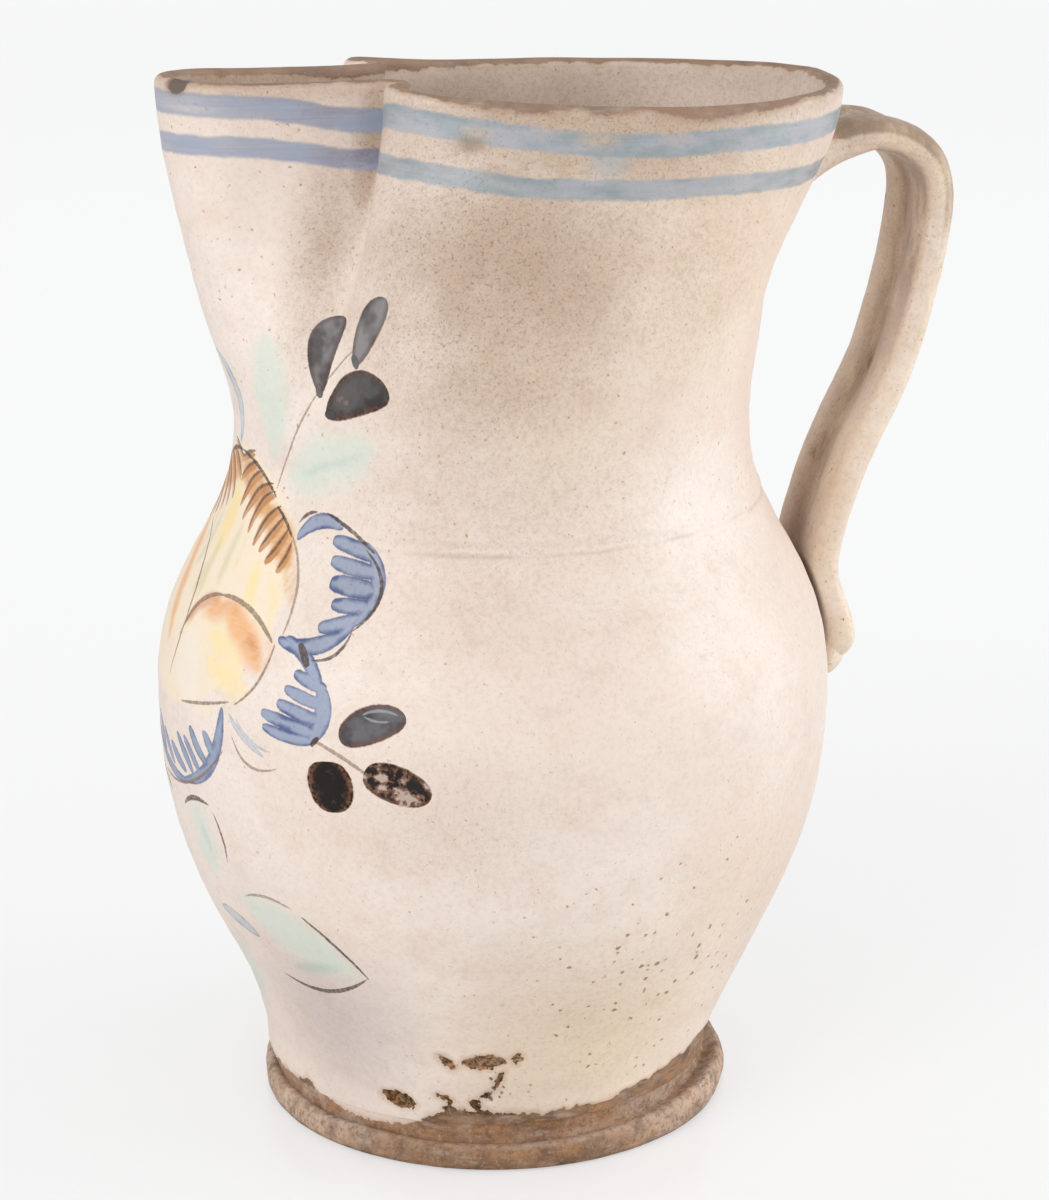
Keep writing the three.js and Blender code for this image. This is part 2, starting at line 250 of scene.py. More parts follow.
# Tin glaze: warm white with rosy and smoky clouds, fine iron specks and a few ochre pits
GLAZE_CREAM = (0.84, 0.71, 0.625, 1)
GLAZE_PALE = (0.885, 0.775, 0.70, 1)
GLAZE_ROSE = (0.79, 0.63, 0.535, 1)
GLAZE_SMOKE_AND_SHADE = (0.485, 0.355, 0.258, 1)
GLAZE_SCUFF = (0.60, 0.475, 0.39, 1)
GLAZE_STIPPLE = (0.33, 0.235, 0.165, 1)
SPECK_BROWN = (0.20, 0.12, 0.075, 1)
PIT_OCHRE = (0.53, 0.315, 0.135, 1)
given, out = node_group(
    "tin_glaze",
    [("Point", "Vector"), ("Smoke And Shade", "Float"), ("Specks", "Float"), ("Pits", "Float")],
    [("Color", "Color"), ("Roughness", "Float"), ("Height", "Float")],
)
point = given["Point"]
broad = grain(point, 0.022, 3.0)
middle = grain(point, 0.085, 4.0, 0.6)
fine = grain(point, 0.8, 5.0, 0.75)
colour = blend(ramp(broad, 0.36, 0.64), GLAZE_CREAM, GLAZE_PALE)
colour = blend(ramp(middle, 0.50, 0.74, 0, 0.55), colour, GLAZE_ROSE)
# The smoke mask darkens the glaze toward the smoke colour; where the neck, belly and handle feed it, it is
# painted shade as well as smoke.
smoke_and_shade = times(given["Smoke And Shade"], ramp(middle, 0.26, 0.62, 0.78, 1.0))
colour = blend(smoke_and_shade, colour, GLAZE_SMOKE_AND_SHADE)
scuff = ramp(grain(point, 0.07, 8.0, 0.75), 0.52, 0.70, 0, 0.22)
colour = blend(scuff, colour, GLAZE_SCUFF)
mottle = scaled(smoke_and_shade, 0.66, 0.17)
colour = blend(times(ramp(fine, 0.42, 0.68), mottle), colour, GLAZE_SMOKE_AND_SHADE)
stipple = times(ramp(grain(point, 1.7, 3.0, 0.6), 0.50, 0.64), smoke_and_shade)
colour = blend(times(stipple, 0.5), colour, GLAZE_STIPPLE)
dust_edge = scaled(given["Specks"], -0.08, 0.665)
dust_over = calc("SUBTRACT", grain(point, 1.25, 4.0, 0.8), dust_edge)
dust = ramp(dust_over, 0.0, 0.09, 0, 0.6)
colour = blend(dust, colour, SPECK_BROWN)
wobble = add("TexNoise", {"Vector": point, "Scale": 0.9, "Detail": 2.0}).outputs["Color"]
bent = moved("MULTIPLY_ADD", wobble, (1.6, 1.6, 1.6), point)
pit_far, pit_kind = cells(bent, 0.46)
pit_share = calc("POWER", ramp(pit_kind, 0.25, 1.0), 2.2)
pit_size = times(given["Pits"], times(pit_share, 0.16))
pit_gap = scaled(middle, 0.05, calc("SUBTRACT", pit_size, pit_far))
pit_on = ramp(pit_size, 0.0, 0.03)
halo = times(pit_on, ramp(pit_gap, -0.11, 0.03, 0, 0.75))
colour = blend(halo, colour, PIT_OCHRE)
hole = times(pit_on, ramp(pit_gap, -0.01, 0.06, 0, 0.6))
colour = blend(hole, colour, SPECK_BROWN)
tree.links.new(colour, out["Color"])
tree.links.new(ramp(middle, 0.3, 0.7, 0.38, 0.52), out["Roughness"])
surface = scaled(fine, 0.35, times(middle, 0.6))
tree.links.new(calc("SUBTRACT", surface, calc("ADD", hole, dust)), out["Height"])
tin_glaze = tree


def started_material(name):
    """Takes a new material in hand, with its shader, its point in mm, its wrap and its glaze cover."""
    global tree
    material = bpy.data.materials.new(name)
    material.use_nodes = True
    tree = material.node_tree
    place = add("TexCoord", {}).outputs["Object"]
    point = add("VectorMath", {0: place, "Scale": 1000.0}, operation="SCALE").outputs[0]
    wrap = add("UVMap", {}, uv_map="wrap").outputs[0]
    cover = stored("cover")
    return material, tree.nodes["Principled BSDF"], point, wrap, cover


def finish_surface(shader, point, wrap, cover, colour, glaze, ragged, soft=0.08, dust=0.0, clay_tint=None):
    """Joins glaze and bare clay along the cover's ragged edge and sends both to the shader."""
    clay = add("Group", {"Point": point, "Wrap": wrap, "Dust": dust}, node_tree=clay_body)
    bare = clay_tint(clay.outputs["Color"]) if clay_tint else clay.outputs["Color"]
    fringe = scaled(calc("SUBTRACT", grain(point, 0.8, 4.0), 0.5), ragged, cover)
    glazed = ramp(fringe, -soft, soft)
    # Ochre darkening of the glaze toward its edge.
    edge_darkening = ramp(fringe, 1.6, 0.1, 0, 0.32)
    colour = blend(edge_darkening, colour, PIT_OCHRE, "MULTIPLY")
    colour = blend(glazed, bare, colour)
    tree.links.new(colour, shader.inputs["Base Color"])
    lightness = add("RGBToBW", {0: colour}).outputs[0]
    sheen = ramp(lightness, 0.02, 0.16, MATTE_SHEEN, GLAZE_SHEEN)
    tree.links.new(sheen, shader.inputs["Specular IOR Level"])
    smoothness = add("Mix", {0: glazed, 2: clay.outputs["Roughness"], 3: glaze.outputs["Roughness"]})
    tree.links.new(smoothness.outputs[0], shader.inputs["Roughness"])
    relief = add("Mix", {0: glazed, 2: clay.outputs["Height"], 3: times(glaze.outputs["Height"], 0.25)})
    bump = add("Bump", {"Strength": 0.55, "Distance": 0.0005, "Height": relief.outputs[0]})
    tree.links.new(bump.outputs[0], shader.inputs["Normal"])


def wash_over(colour, low, high, cloud):
    """Lays the colour stored on the mesh as its wash over another, thinner where the cloud is dark."""
    laid = add("Attribute", {}, attribute_name="wash")
    tint = moved("DIVIDE", laid.outputs["Color"], laid.outputs["Alpha"])
    return blend(times(laid.outputs["Alpha"], ramp(cloud, 0.34, 0.6, low, high)), colour, tint)


foot_clay, shader, point, wrap, cover = started_material("bare_foot_clay")
glaze = add("Group", {"Point": point, "Smoke And Shade": 0.08, "Specks": 0.7, "Pits": 1.0}, node_tree=tin_glaze)
dirt = grain(point, 0.45, 4.0, 0.65)
scurf = grain(point, 0.95, 5.0, 0.7)


def stained_and_shaded_clay(bare):
    """Foot clay under its stains and painted light and shade, with dark crumbs and pale scurf over them."""
    stained = wash_over(bare, 0.3, 0.85, dirt)
    crumbled = blend(ramp(scurf, 0.48, 0.36, 0, 0.6), stained, CLAY_DARK)
    return blend(ramp(scurf, 0.55, 0.68, 0, 0.5), crumbled, CLAY_GREY)


finish_surface(shader, point, wrap, cover, glaze.outputs["Color"], glaze, 2.6, clay_tint=stained_and_shaded_clay)

foot_turn = np.linspace(-math.pi, math.pi, FOOT_COLUMNS, endpoint=False)
foot_around = foot_turn * WRAP_RADIUS
profile = along(FOOT_EDGE, FOOT_ROWS)
radius, height = profile[:, :1], profile[:, 1:]
outer = smooth((radius - 50) / 3) * smooth(height / 2)
lift = read_off(FLANGE_LIFT, foot_around)[None]
flange = np.clip(1 - np.abs(height - 6) / 4, 0, 1) * smooth((radius - 51.8) / 1.2)
foot_grid = np.stack([
    -radius * np.cos(foot_turn) - WALL_LEAN * smooth((height - 5.4) / 2.0) * smooth((53.2 - radius) / 0.8),
    -radius * np.sin(foot_turn),
    height + lift * flange,
], -1)
push = outer * (0.45 * rough(foot_grid, 16, 1) + 0.26 * rough(foot_grid, 4.5, 2))
foot_grid[..., 0] -= push * np.cos(foot_turn)
foot_grid[..., 1] -= push * np.sin(foot_turn)
foot_grid[..., 2] += flange * (0.45 * rough(foot_grid, 16, 3) + 0.12 * rough(foot_grid, 4.5, 4))
foot_grid[..., 2] = np.clip(foot_grid[..., 2], 0, FOOT_TOP)
run_edge = read_off(GLAZE_RUN, foot_around)[None]
foot_cover = np.clip(foot_grid[..., 2] - run_edge, -4, 4) + 0 * radius
crest = np.exp(-(((height - 6.2) / 0.6) ** 2)) * smooth((radius - 53.0) / 0.6)
channel = np.exp(-(((radius - 52.3) / 0.7) ** 2)) * np.exp(-(((height - 5.9) / 0.9) ** 2))
ledge = smooth((53.4 - radius) / 0.8) * smooth((height - 5.0) / 0.5)
patchy = 0.75 + 0.6 * rough(foot_grid, 14, 20, 2)
# Painted light and shade: far_side is 0 on the face turned to the camera and 1 round the sides.
far_side = smooth((np.abs(foot_around - 94) - 20) / 45)[None]
foot_stains_light_and_shade = np.zeros(foot_grid.shape[:2] + (4,))
# Stains on the foot, with painted light and shade among them, laid one over the other:
for colour, mask in (
    # painted shade darkening the face turned to the camera
    ((0.29, 0.15, 0.07), 0.6 * (1 - far_side) * outer * patchy),
    # painted light paling the sides
    ((0.70, 0.52, 0.40), far_side * outer * (0.85 + 0.5 * rough(foot_grid, 12, 21, 3))),
    ((0.41, 0.19, 0.08), ledge * (0.45 + 0.7 * rough(foot_grid, 9, 22, 4))),
    # painted light paling the ledge round the sides
    ((0.60, 0.44, 0.335), ledge * far_side * smooth(0.55 + 1.6 * rough(foot_grid, 10, 24, 3))),
    # dirt and painted shade in the groove behind the crest
    ((0.13, 0.075, 0.045), 0.5 * channel * patchy * (1 - 0.85 * far_side)),
    # painted highlight along the crest
    ((0.60, 0.46, 0.37), 0.7 * crest * patchy),
    ((0.10, 0.06, 0.04), 0.6 * smooth(2.2 * rough(foot_grid, 6, 23, 4) - 0.4) * outer),
    ((0.62, 0.47, 0.365), 0.6 * smooth(2.4 * rough(foot_grid, 4, 25, 4) - 0.7) * ledge),
):
    share = np.clip(mask, 0, 1)[..., None]
    foot_stains_light_and_shade = foot_stains_light_and_shade * (1 - share) + np.array([*colour, 1.0]) * share
foot_height = foot_grid[..., 2]
foot_piece = skin("foot_disc", foot_grid, foot_around, foot_height, foot_cover, foot_clay, wash=foot_stains_light_and_shade)
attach(foot_piece, "root")
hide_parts("foot")

# Belly.
# The round lower pot, thrown in one pull from its floor to the shoulder ring, then dipped in white
# tin glaze that stops short of the foot. The flower is brushed on to the raw glaze before firing.
BELLY_COLUMNS = 400
BELLY_LOW_ROWS = 54
BELLY_ROWS = 96
BELLY_INSIDE_ROWS = 40
SEAM_HEIGHT = 147.0
LOW_END = 38.0
WALL = 5.0
FLOOR_HEIGHT = 17.0
FLOOR_ROUNDING = 9.0
GLAZE_DEPTH = 0.3
# Height written on faces inside the pot, where no brush stroke may reach
INSIDE_MARK = -500.0
# Bends of the wall's outline: radius and height
LOWER_WALL = [(52.2, 11), (59.2, 44.8), (78.4, 55.6), (78.4, 101)]
SHOULDER_WALL = [(78.4, 101), (78.4, 132.6), (59, 136.1), (59, 165)]
THROAT_WALL = [(59, 165), (59, 178), (62, 182), (62, 204)]
GLAZE_EDGE = [
    (-220, 13.5), (-190, 16), (-150, 14), (-100, 12.5), (-60, 12.4), (-20, 11), (18, 11.2), (26, 11.6),
    (29, 13.6), (33, 11.4), (40, 7), (70, 8), (73, 11.8), (80, 14.6), (88, 14.6), (95, 14.2), (106, 13.4),
    (126, 13.4), (144, 15.2), (164, 17.6), (172, 19.6), (188, 18), (205, 15), (220, 13.5),
]
CHIPS_MIDDLE = 79.0
CHIPS = [
    (85.4, 28.1, 94.4, 28.5, 2.1), (77.8, 29.4, 82, 26.2, 1.15), (99, 30.2, 98.8, 28.2, 1.2),
    (61, 16.6, 69.6, 15.2, 1.9), (77.2, 18.3, 81.8, 16.6, 0.8), (87.6, 16.8, 89.9, 15.6, 1.1),
    (79.4, 15, 84.6, 13.8, 0.9), (95.6, 25, 94, 21, 0.8), (93.4, 19.8, 90.6, 18.4, 0.8),
]


def bezier(handles, count):
    share = np.linspace(0, 1, count)[:, None]
    start, first, second, end = np.array(handles, float)
    rest = 1 - share
    return rest**3 * start + 3 * rest**2 * share * first + 3 * rest * share**2 * second + share**3 * end


wall_line = np.concatenate([bezier(handles, 300) for handles in (LOWER_WALL, SHOULDER_WALL, THROAT_WALL)])


def wall_radius(heights):
    return np.interp(heights, wall_line[:, 1], wall_line[:, 0])


def hand_marks(points, around, heights):
    """How far the thrown wall stands off its true shape: soft lumps, finger rings and the shoulder ring."""
    lumps = 0.45 * rough(points, 45, 5, 2) + 0.12 * rough(points, 9, 6, 2)
    rings = 0.03 * np.sin(heights * 0.9 + 1.6 * rough(points, 60, 7, 1))
    line = 146.9 + 1.6 * np.cos((around - 85) / WRAP_RADIUS) + 0.3 * rough(points, 12, 8, 1)
    depth = 0.36 + 0.18 * rough(points, 18, 9, 1)
    gap = heights - line
    ring = 0.20 * np.exp(-(((gap - 1.7) / 0.9) ** 2)) - depth * np.exp(-((gap / 0.75) ** 2))
    ring += -0.07 * np.exp(-(((gap + 2.4) / 0.7) ** 2))
    return lumps + rings + ring * smooth((np.abs(around - 8) - 48) / 30)


def spot_distance(around, heights, chip):
    """Distance in mm to a long spot on the wrap, below nought inside it."""
    x0, z0, x1, z1, half = chip
    run = np.array([x1 - x0, z1 - z0])
    share = np.clip(((around - x0) * run[0] + (heights - z0) * run[1]) / (run @ run), 0, 1)
    swell = half * (1 - 0.5 * (2 * share - 1) ** 2)
    return np.hypot((around - x0 - share * run[0]) * 0.78, heights - z0 - share * run[1]) - swell


# Brush strokes lie on the wrap: millimetres round from the spout line and millimetres of height.
# Each is bent off its chord, swells to its half width and narrows to both ends.
STROKE_VALUES = (
    "Around", "Height", "Grain", "Start Around", "Start Height", "Turn", "Length", "Bend", "Half Width",
    "Taper", "Skew", "Softness",
)
given, out = node_group(
    "brush_stroke",
    [(label, "Float") for label in STROKE_VALUES],
    [("Mask", "Float"), ("Depth", "Float")],
)
cosine = calc("COSINE", given["Turn"])
sine = calc("SINE", given["Turn"])
start_along = scaled(given["Start Around"], cosine, times(given["Start Height"], sine))
start_across = calc("SUBTRACT", times(given["Start Height"], cosine), times(given["Start Around"], sine))
risen = scaled(given["Height"], sine, times(start_along, -1.0))
run = scaled(given["Around"], cosine, risen)
share = calc("POWER", calc("DIVIDE", run, given["Length"]), given["Skew"])
back = times(sine, -1.0)
fallen = scaled(given["Around"], back, times(start_across, -1.0))
aside = scaled(given["Height"], cosine, fallen)
arch = times(share, scaled(share, -4.0, 4.0))
offset = scaled(arch, times(given["Bend"], -1.0), aside)
swell = times(calc("POWER", arch, given["Taper"]), given["Half Width"])
inside = calc("SUBTRACT", swell, calc("ABSOLUTE", offset))
ragged = calc("ADD", inside, given["Grain"])
present = calc("GREATER_THAN", swell, 0.0)
mask = times(ramp(ragged, 0.0, given["Softness"]), present)
tree.links.new(mask, out["Mask"])
depth = calc("DIVIDE", ragged, given["Half Width"])
tree.links.new(times(depth, mask), out["Depth"])
brush_stroke = tree

# Strokes: start, end, bend, half width and taper
PETAL_BLUE = [
    (40, 147, 53.6, 151, 2.3, 1.9, 0.25), (51.3, 148.1, 64, 145.6, 0.3, 1.9, 0.24),
    (51.9, 144, 65, 142.6, -0.1, 1.9, 0.24), (53.1, 139.8, 66, 139, 0.1, 2.2, 0.24),
    (55, 135.8, 66, 136.2, -0.1, 1.8, 0.24), (53.3, 130.9, 62.4, 134, -0.4, 1.8, 0.26),
    (60.6, 148.6, 61.4, 132, 4.4, 2.1, 0.3), (44, 127.2, 62, 133, -2.8, 2, 0.32),
    (46, 128, 57.2, 119, 1.5, 1.7, 0.28), (57, 120.5, 55.3, 107.4, 2, 2.1, 0.28),
    (50.4, 121.7, 58.4, 119.4, -0.2, 1.6, 0.26), (48.6, 118.2, 59, 116, -0.3, 1.6, 0.26),
    (47.2, 114.9, 59.4, 112.4, -0.3, 1.8, 0.26), (43.4, 112, 58, 109.6, -0.1, 1.8, 0.26),
    (44, 109, 56.4, 108, -0.5, 1.6, 0.26),
]
FAN_BLUE = [
    (32, 110, 15, 87.8, 5.4, 1.9, 0.3), (25.6, 103, 29.6, 97.4, 0.2, 1.5, 0.35),
    (20, 102.4, 27, 94.8, -0.5, 1.5, 0.35), (17, 99.2, 23.6, 92.2, 0, 1.3, 0.35),
    (13.2, 98.8, 20.4, 91, 0.1, 1.4, 0.35), (8.6, 95, 16.8, 90.2, 0, 1.5, 0.35),
    (17, 87.8, -8, 100, 4.5, 1.8, 0.3), (3, 96.5, 10, 89.8, 0, 1.4, 0.35), (-2, 99, 4, 91, 0, 1.4, 0.35),
]
PALE_BLUE = [
    (34, 109.5, 44.5, 102, -0.8, 0.9, 0.5), (36.2, 109, 46.6, 103.6, -1.6, 0.6, 0.5),
    (0, 182.6, 4.8, 161.4, 5.6, 2.4, 0.5), (17, 56.8, 31, 53.4, 0.7, 2.2, 0.5),
]
OUTLINES = [
    (8, 160.4, 29.5, 153.9, 1.7, 0.6, 0.2), (30.5, 152, 38.2, 146.8, 0.4, 0.55, 0.2),
    (48.2, 153.3, 63.4, 146.5, 0.6, 0.55, 0.25), (61, 147, 61.6, 131.2, 5.3, 0.6, 0.2),
    (61.7, 131.5, 53.6, 124.6, 2.1, 0.5, 0.3), (39.6, 150, 45.2, 153.1, 0.7, 0.5, 0.3),
    (50, 127.4, 53.2, 123.2, 0.1, 1, 0.25), (12.5, 81, 25.4, 85.1, 1.6, 0.75, 0.4),
    (26.4, 84, 28.2, 71.6, 1.4, 0.45, 0.4), (34, 44.4, 62.8, 50.6, -4, 0.7, 0.45),
    (49, 64.4, 63, 50.2, 0.9, 0.55, 0.3), (56, 107, 57.6, 109.2, 0.1, 0.7, 0.3),
]
FAINT_LINES = [
    (38.1, 147.2, 44.9, 128.2, 2.8, 0.5, 0.2), (35.2, 104.8, 48.2, 100.4, -3.8, 0.5, 0.4),
    (56.2, 108.5, 68.5, 102.3, 0.4, 0.55, 0.2), (31.6, 64.4, 47, 65.6, 1.7, 0.5, 0.35),
    (29, 155.6, 44.2, 179, 1, 0.42, 0.2), (43.6, 178.4, 54.8, 188.2, 0.5, 0.36, 0.2),
]
# Painted shade: a dark line along the groove of the shoulder ring
SHOULDER_RING_SHADE = [(60, 147.2, 114, 147, 0, 1, 0.2), (108, 147, 172, 147.2, 0, 0.9, 0.2)]
CENTRE_LINES = [
    (-8.6, 142, 7.4, 110.2, 8.6, 0.5, 0.2), (0.5, 85.4, 32.6, 100.4, -4.8, 0.5, 0.3),
    (8.5, 119.6, 21.4, 131.6, 3.3, 0.75, 0.3), (21, 131.6, 42.8, 126.2, 2.3, 0.65, 0.2),
    (43.6, 126, 35.6, 111.6, 2, 0.45, 0.2), (15.6, 106.8, 34, 111.8, -0.3, 0.5, 0.3),
]
GREEN_WASH = [
    (23.4, 190, 28, 161, 0.5, 9.6, 0.5), (33, 157.6, 62.8, 169, 1, 9, 0.45),
    (18.8, 85.2, 22, 65.5, 0, 8, 0.5), (28, 64, 61, 49.6, 1.2, 9.4, 0.55), (17, 50, 6, 27, 1, 7.5, 0.5),
]
GREEN_POOL = [
    (38, 47, 57, 52, 0.5, 3, 0.6), (37, 159.4, 59, 166.6, 0.5, 2.2, 0.5), (20, 80, 23, 70, 0, 2.6, 0.5),
]
BUD_WASH = [(3, 162, 12, 105.5, 0, 36, 0.55)]
BUD_YELLOW = [
    (28.9, 141.4, 33.9, 130, -1.2, 3, 0.5), (34.3, 138.4, 40.7, 128.1, 1.4, 2.6, 0.5),
    (8, 156.5, 9, 137.6, -1.5, 6, 0.5),
]
BUD_OLIVE = [
    (7.2, 143.3, 10.5, 127.9, -1, 3, 0.4), (16.2, 146.4, 17.3, 132.2, -1, 2.4, 0.4),
    (20.4, 145, 21.6, 136, -0.6, 1.2, 0.4),
]
BUD_EDGE = [
    (8, 157.4, 28, 150, 1, 5.2, 0.4), (26, 151.6, 40.6, 140.2, 1, 5, 0.4),
    (39.8, 143.4, 44.6, 131.6, 1, 1.7, 0.5), (38, 141.6, 42.6, 135, 0.3, 1.7, 0.5),
]
INNER_PALE = [(13, 123, 20.6, 107, -0.8, 7, 0.5)]
INNER_YELLOW = [
    (20.5, 124.1, 36, 120.5, 0.5, 4.6, 0.5), (23, 118.6, 40, 114.6, 0.2, 5.2, 0.5),
    (17, 106.6, 36, 111.6, -1, 1.9, 0.5),
]
INNER_ORANGE = [
    (-20, 145, 2, 115, 3, 4, 0.5), (16, 126, 36.2, 127, 3, 3.6, 0.4), (27, 127.6, 42, 119.6, 1.6, 4.6, 0.4),
    (38.3, 129.4, 42.6, 120, 2, 1.4, 0.5),
]
INNER_RUST = [
    (9, 121.6, 22, 130.8, 2.5, 2.5, 0.4), (33.6, 126, 41, 121.6, 0.8, 1.8, 0.5),
    (22, 129.6, 30, 129.8, 0.8, 1.2, 0.5),
]
HATCH = [
    (16.9, 161, 6.8, 157.5, -0.5, 1, 0.3), (18.5, 158.8, 8.1, 153.7, -0.9, 1.2, 0.3),
    (22.2, 157.5, 11.5, 148.9, -1.8, 1.6, 0.3), (27.7, 155.6, 15.2, 146.6, -2.2, 1.7, 0.3),
    (29, 154.1, 20.1, 144.5, -2.4, 1.6, 0.3), (32, 151.5, 24.3, 142.7, -1.6, 1.7, 0.3),
    (34, 149.7, 27.6, 142, -0.3, 1.6, 0.3), (36.4, 147.6, 31.4, 140.2, 0.2, 1.7, 0.3),
    (38.6, 145.3, 36.4, 139.1, 0.4, 1.5, 0.3),
]
HATCH_RISE = 0.9
HATCH_EDGE = 0.55
HATCH_RUST = (0.52, 0.215, 0.065, 1)
RING_SHADE_BROWN = (0.44, 0.33, 0.26, 1)
LEAF_POOL = (0.02, 0.017, 0.017, 1)
LEAF_BLACK = (0.014, 0.012, 0.012, 1)
FRAY_BROWN = (0.21, 0.085, 0.04, 1)
FLAKE_BROWN = (0.19, 0.095, 0.06, 1)
MIRROR_LINE = 8.0

# Washes: strokes, whether the other half of the flower repeats them, softness, colour and strength
WASHES = [
    (GREEN_WASH, True, 6.5, (0.61, 0.74, 0.65), 0.66), (GREEN_POOL, True, 3.5, (0.34, 0.48, 0.42), 0.62),
    (BUD_WASH, False, 2.0, (0.93, 0.785, 0.58), 0.85), (BUD_YELLOW, True, 3.0, (0.95, 0.74, 0.34), 0.85),
    (BUD_OLIVE, True, 2.0, (0.70, 0.64, 0.38), 0.75), (BUD_EDGE, True, 2.6, (0.71, 0.37, 0.14), 0.95),
    (INNER_PALE, False, 3.5, (0.91, 0.82, 0.69), 0.85), (INNER_YELLOW, False, 4.2, (0.95, 0.75, 0.36), 0.72),
    (INNER_ORANGE, False, 3.2, (0.86, 0.44, 0.18), 0.95), (INNER_RUST, False, 1.8, (0.67, 0.27, 0.08), 0.8),
]

# Black leaves: a stroke with its skew, its ink, and how much of it is fringed with brown and flaked away
LEAVES = [
    ((44.0, 177.8, 48.2, 194.0, 3.4, 4.8, 0.48), 1.35, (0.205, 0.183, 0.183, 1), 0.35, 0.0),
    ((55.4, 185.2, 63.4, 199.6, 0.9, 3.7, 0.45), 1.25, (0.25, 0.23, 0.226, 1), 0.3, 0.0),
    ((46.8, 174.6, 66.0, 180.8, 1.8, 4.9, 0.42), 1.15, (0.10, 0.092, 0.092, 1), 0.55, 0.15),
    ((62.2, 109.4, 75.4, 116.0, 0.8, 4.1, 0.42), 1.0, (0.13, 0.125, 0.135, 1), 0.8, 0.1),
    ((59.2, 104.2, 60.8, 92.8, 0.2, 5.2, 0.36), 0.9, (0.02, 0.016, 0.015, 1), 1.0, 0.15),
    ((67.4, 103.0, 80.6, 98.4, 0.2, 4.5, 0.42), 0.9, (0.03, 0.024, 0.023, 1), 0.8, 1.0),
    ((43.4, 180.2, 44.8, 177.4, 0.0, 1.4, 0.4), 1.0, (0.15, 0.135, 0.135, 1), 0.2, 0.0),
    ((54.6, 187.4, 56.8, 184.8, 0.1, 1.2, 0.4), 1.0, (0.15, 0.135, 0.135, 1), 0.2, 0.0),
    ((46.4, 174.2, 50.4, 174.5, 0.0, 1.3, 0.4), 1.0, (0.09, 0.08, 0.08, 1), 0.2, 0.0),
]
SCRATCHES = [(66.6, 115.3, 73.9, 116, 0.9, 0.42, 0.3), (67, 115, 72.6, 114.6, -0.5, 0.36, 0.3)]
CHIP_SPECKS = [
    (91.9, 23.9, 93, 23.2, 0.1, 0.5, 0.3), (94.4, 25, 95.4, 24.5, 0, 0.45, 0.3),
    (93, 21.2, 94.2, 20.2, 0.2, 0.6, 0.3), (96, 21.5, 96.8, 20.8, 0, 0.4, 0.3),
    (92.4, 18.4, 93.6, 17.3, 0.1, 0.65, 0.3), (95.2, 18.7, 96, 18, 0, 0.4, 0.3),
]


def washed(points, around, heights):
    """Colour and strength of the washes at each place, laid one over the other."""
    both = np.abs(around - MIRROR_LINE) + MIRROR_LINE
    drift = 0.8 * rough(points, 6, 19, 2)
    laid = np.zeros(around.shape + (4,))
    for rows, mirrored, softness, colour, strength in WASHES:
        place = both if mirrored else around
        mask = np.zeros(around.shape)
        for x0, z0, x1, z1, bend, half, taper in rows:
            length = math.hypot(x1 - x0, z1 - z0)
            cosine, sine = (x1 - x0) / length, (z1 - z0) / length
            run = ((place - x0) * cosine + (heights - z0) * sine) / length
            aside = (heights - z0) * cosine - (place - x0) * sine
            arch = np.clip(4 * run * (1 - run), 0, 1)
            depth = half * arch**taper - np.abs(aside - bend * arch) + drift
            mask = np.maximum(mask, smooth(depth / softness) * (arch > 0))
        share = (strength * mask)[..., None]
        laid = laid * (1 - share) + np.array([*colour, 1.0]) * share
    return laid


def brushed(around, height, edge, rows, softness, span, skew=1.0, deep=False):
    """The joint mask, and where it is wanted the depth, of all strokes near the span of heights."""
    mask = depth = None
    for x0, z0, x1, z1, bend, half, taper in rows:
        reach = abs(bend) + half
        if max(z0, z1) + reach < span[0] or min(z0, z1) - reach > span[1]:
            continue
        values = {
            "Around": around, "Height": height, "Grain": edge, "Start Around": x0, "Start Height": z0,
            "Turn": math.atan2(z1 - z0, x1 - x0), "Length": math.hypot(x1 - x0, z1 - z0), "Bend": bend,
            "Half Width": half, "Taper": taper, "Skew": skew, "Softness": softness,
        }
        stroke = add("Group", values, node_tree=brush_stroke)
        mask = calc("MAXIMUM", mask, stroke.outputs[0]) if mask else stroke.outputs[0]
        if deep:
            depth = calc("MAXIMUM", depth, stroke.outputs[1]) if depth else stroke.outputs[1]
    return (mask, depth) if deep else mask


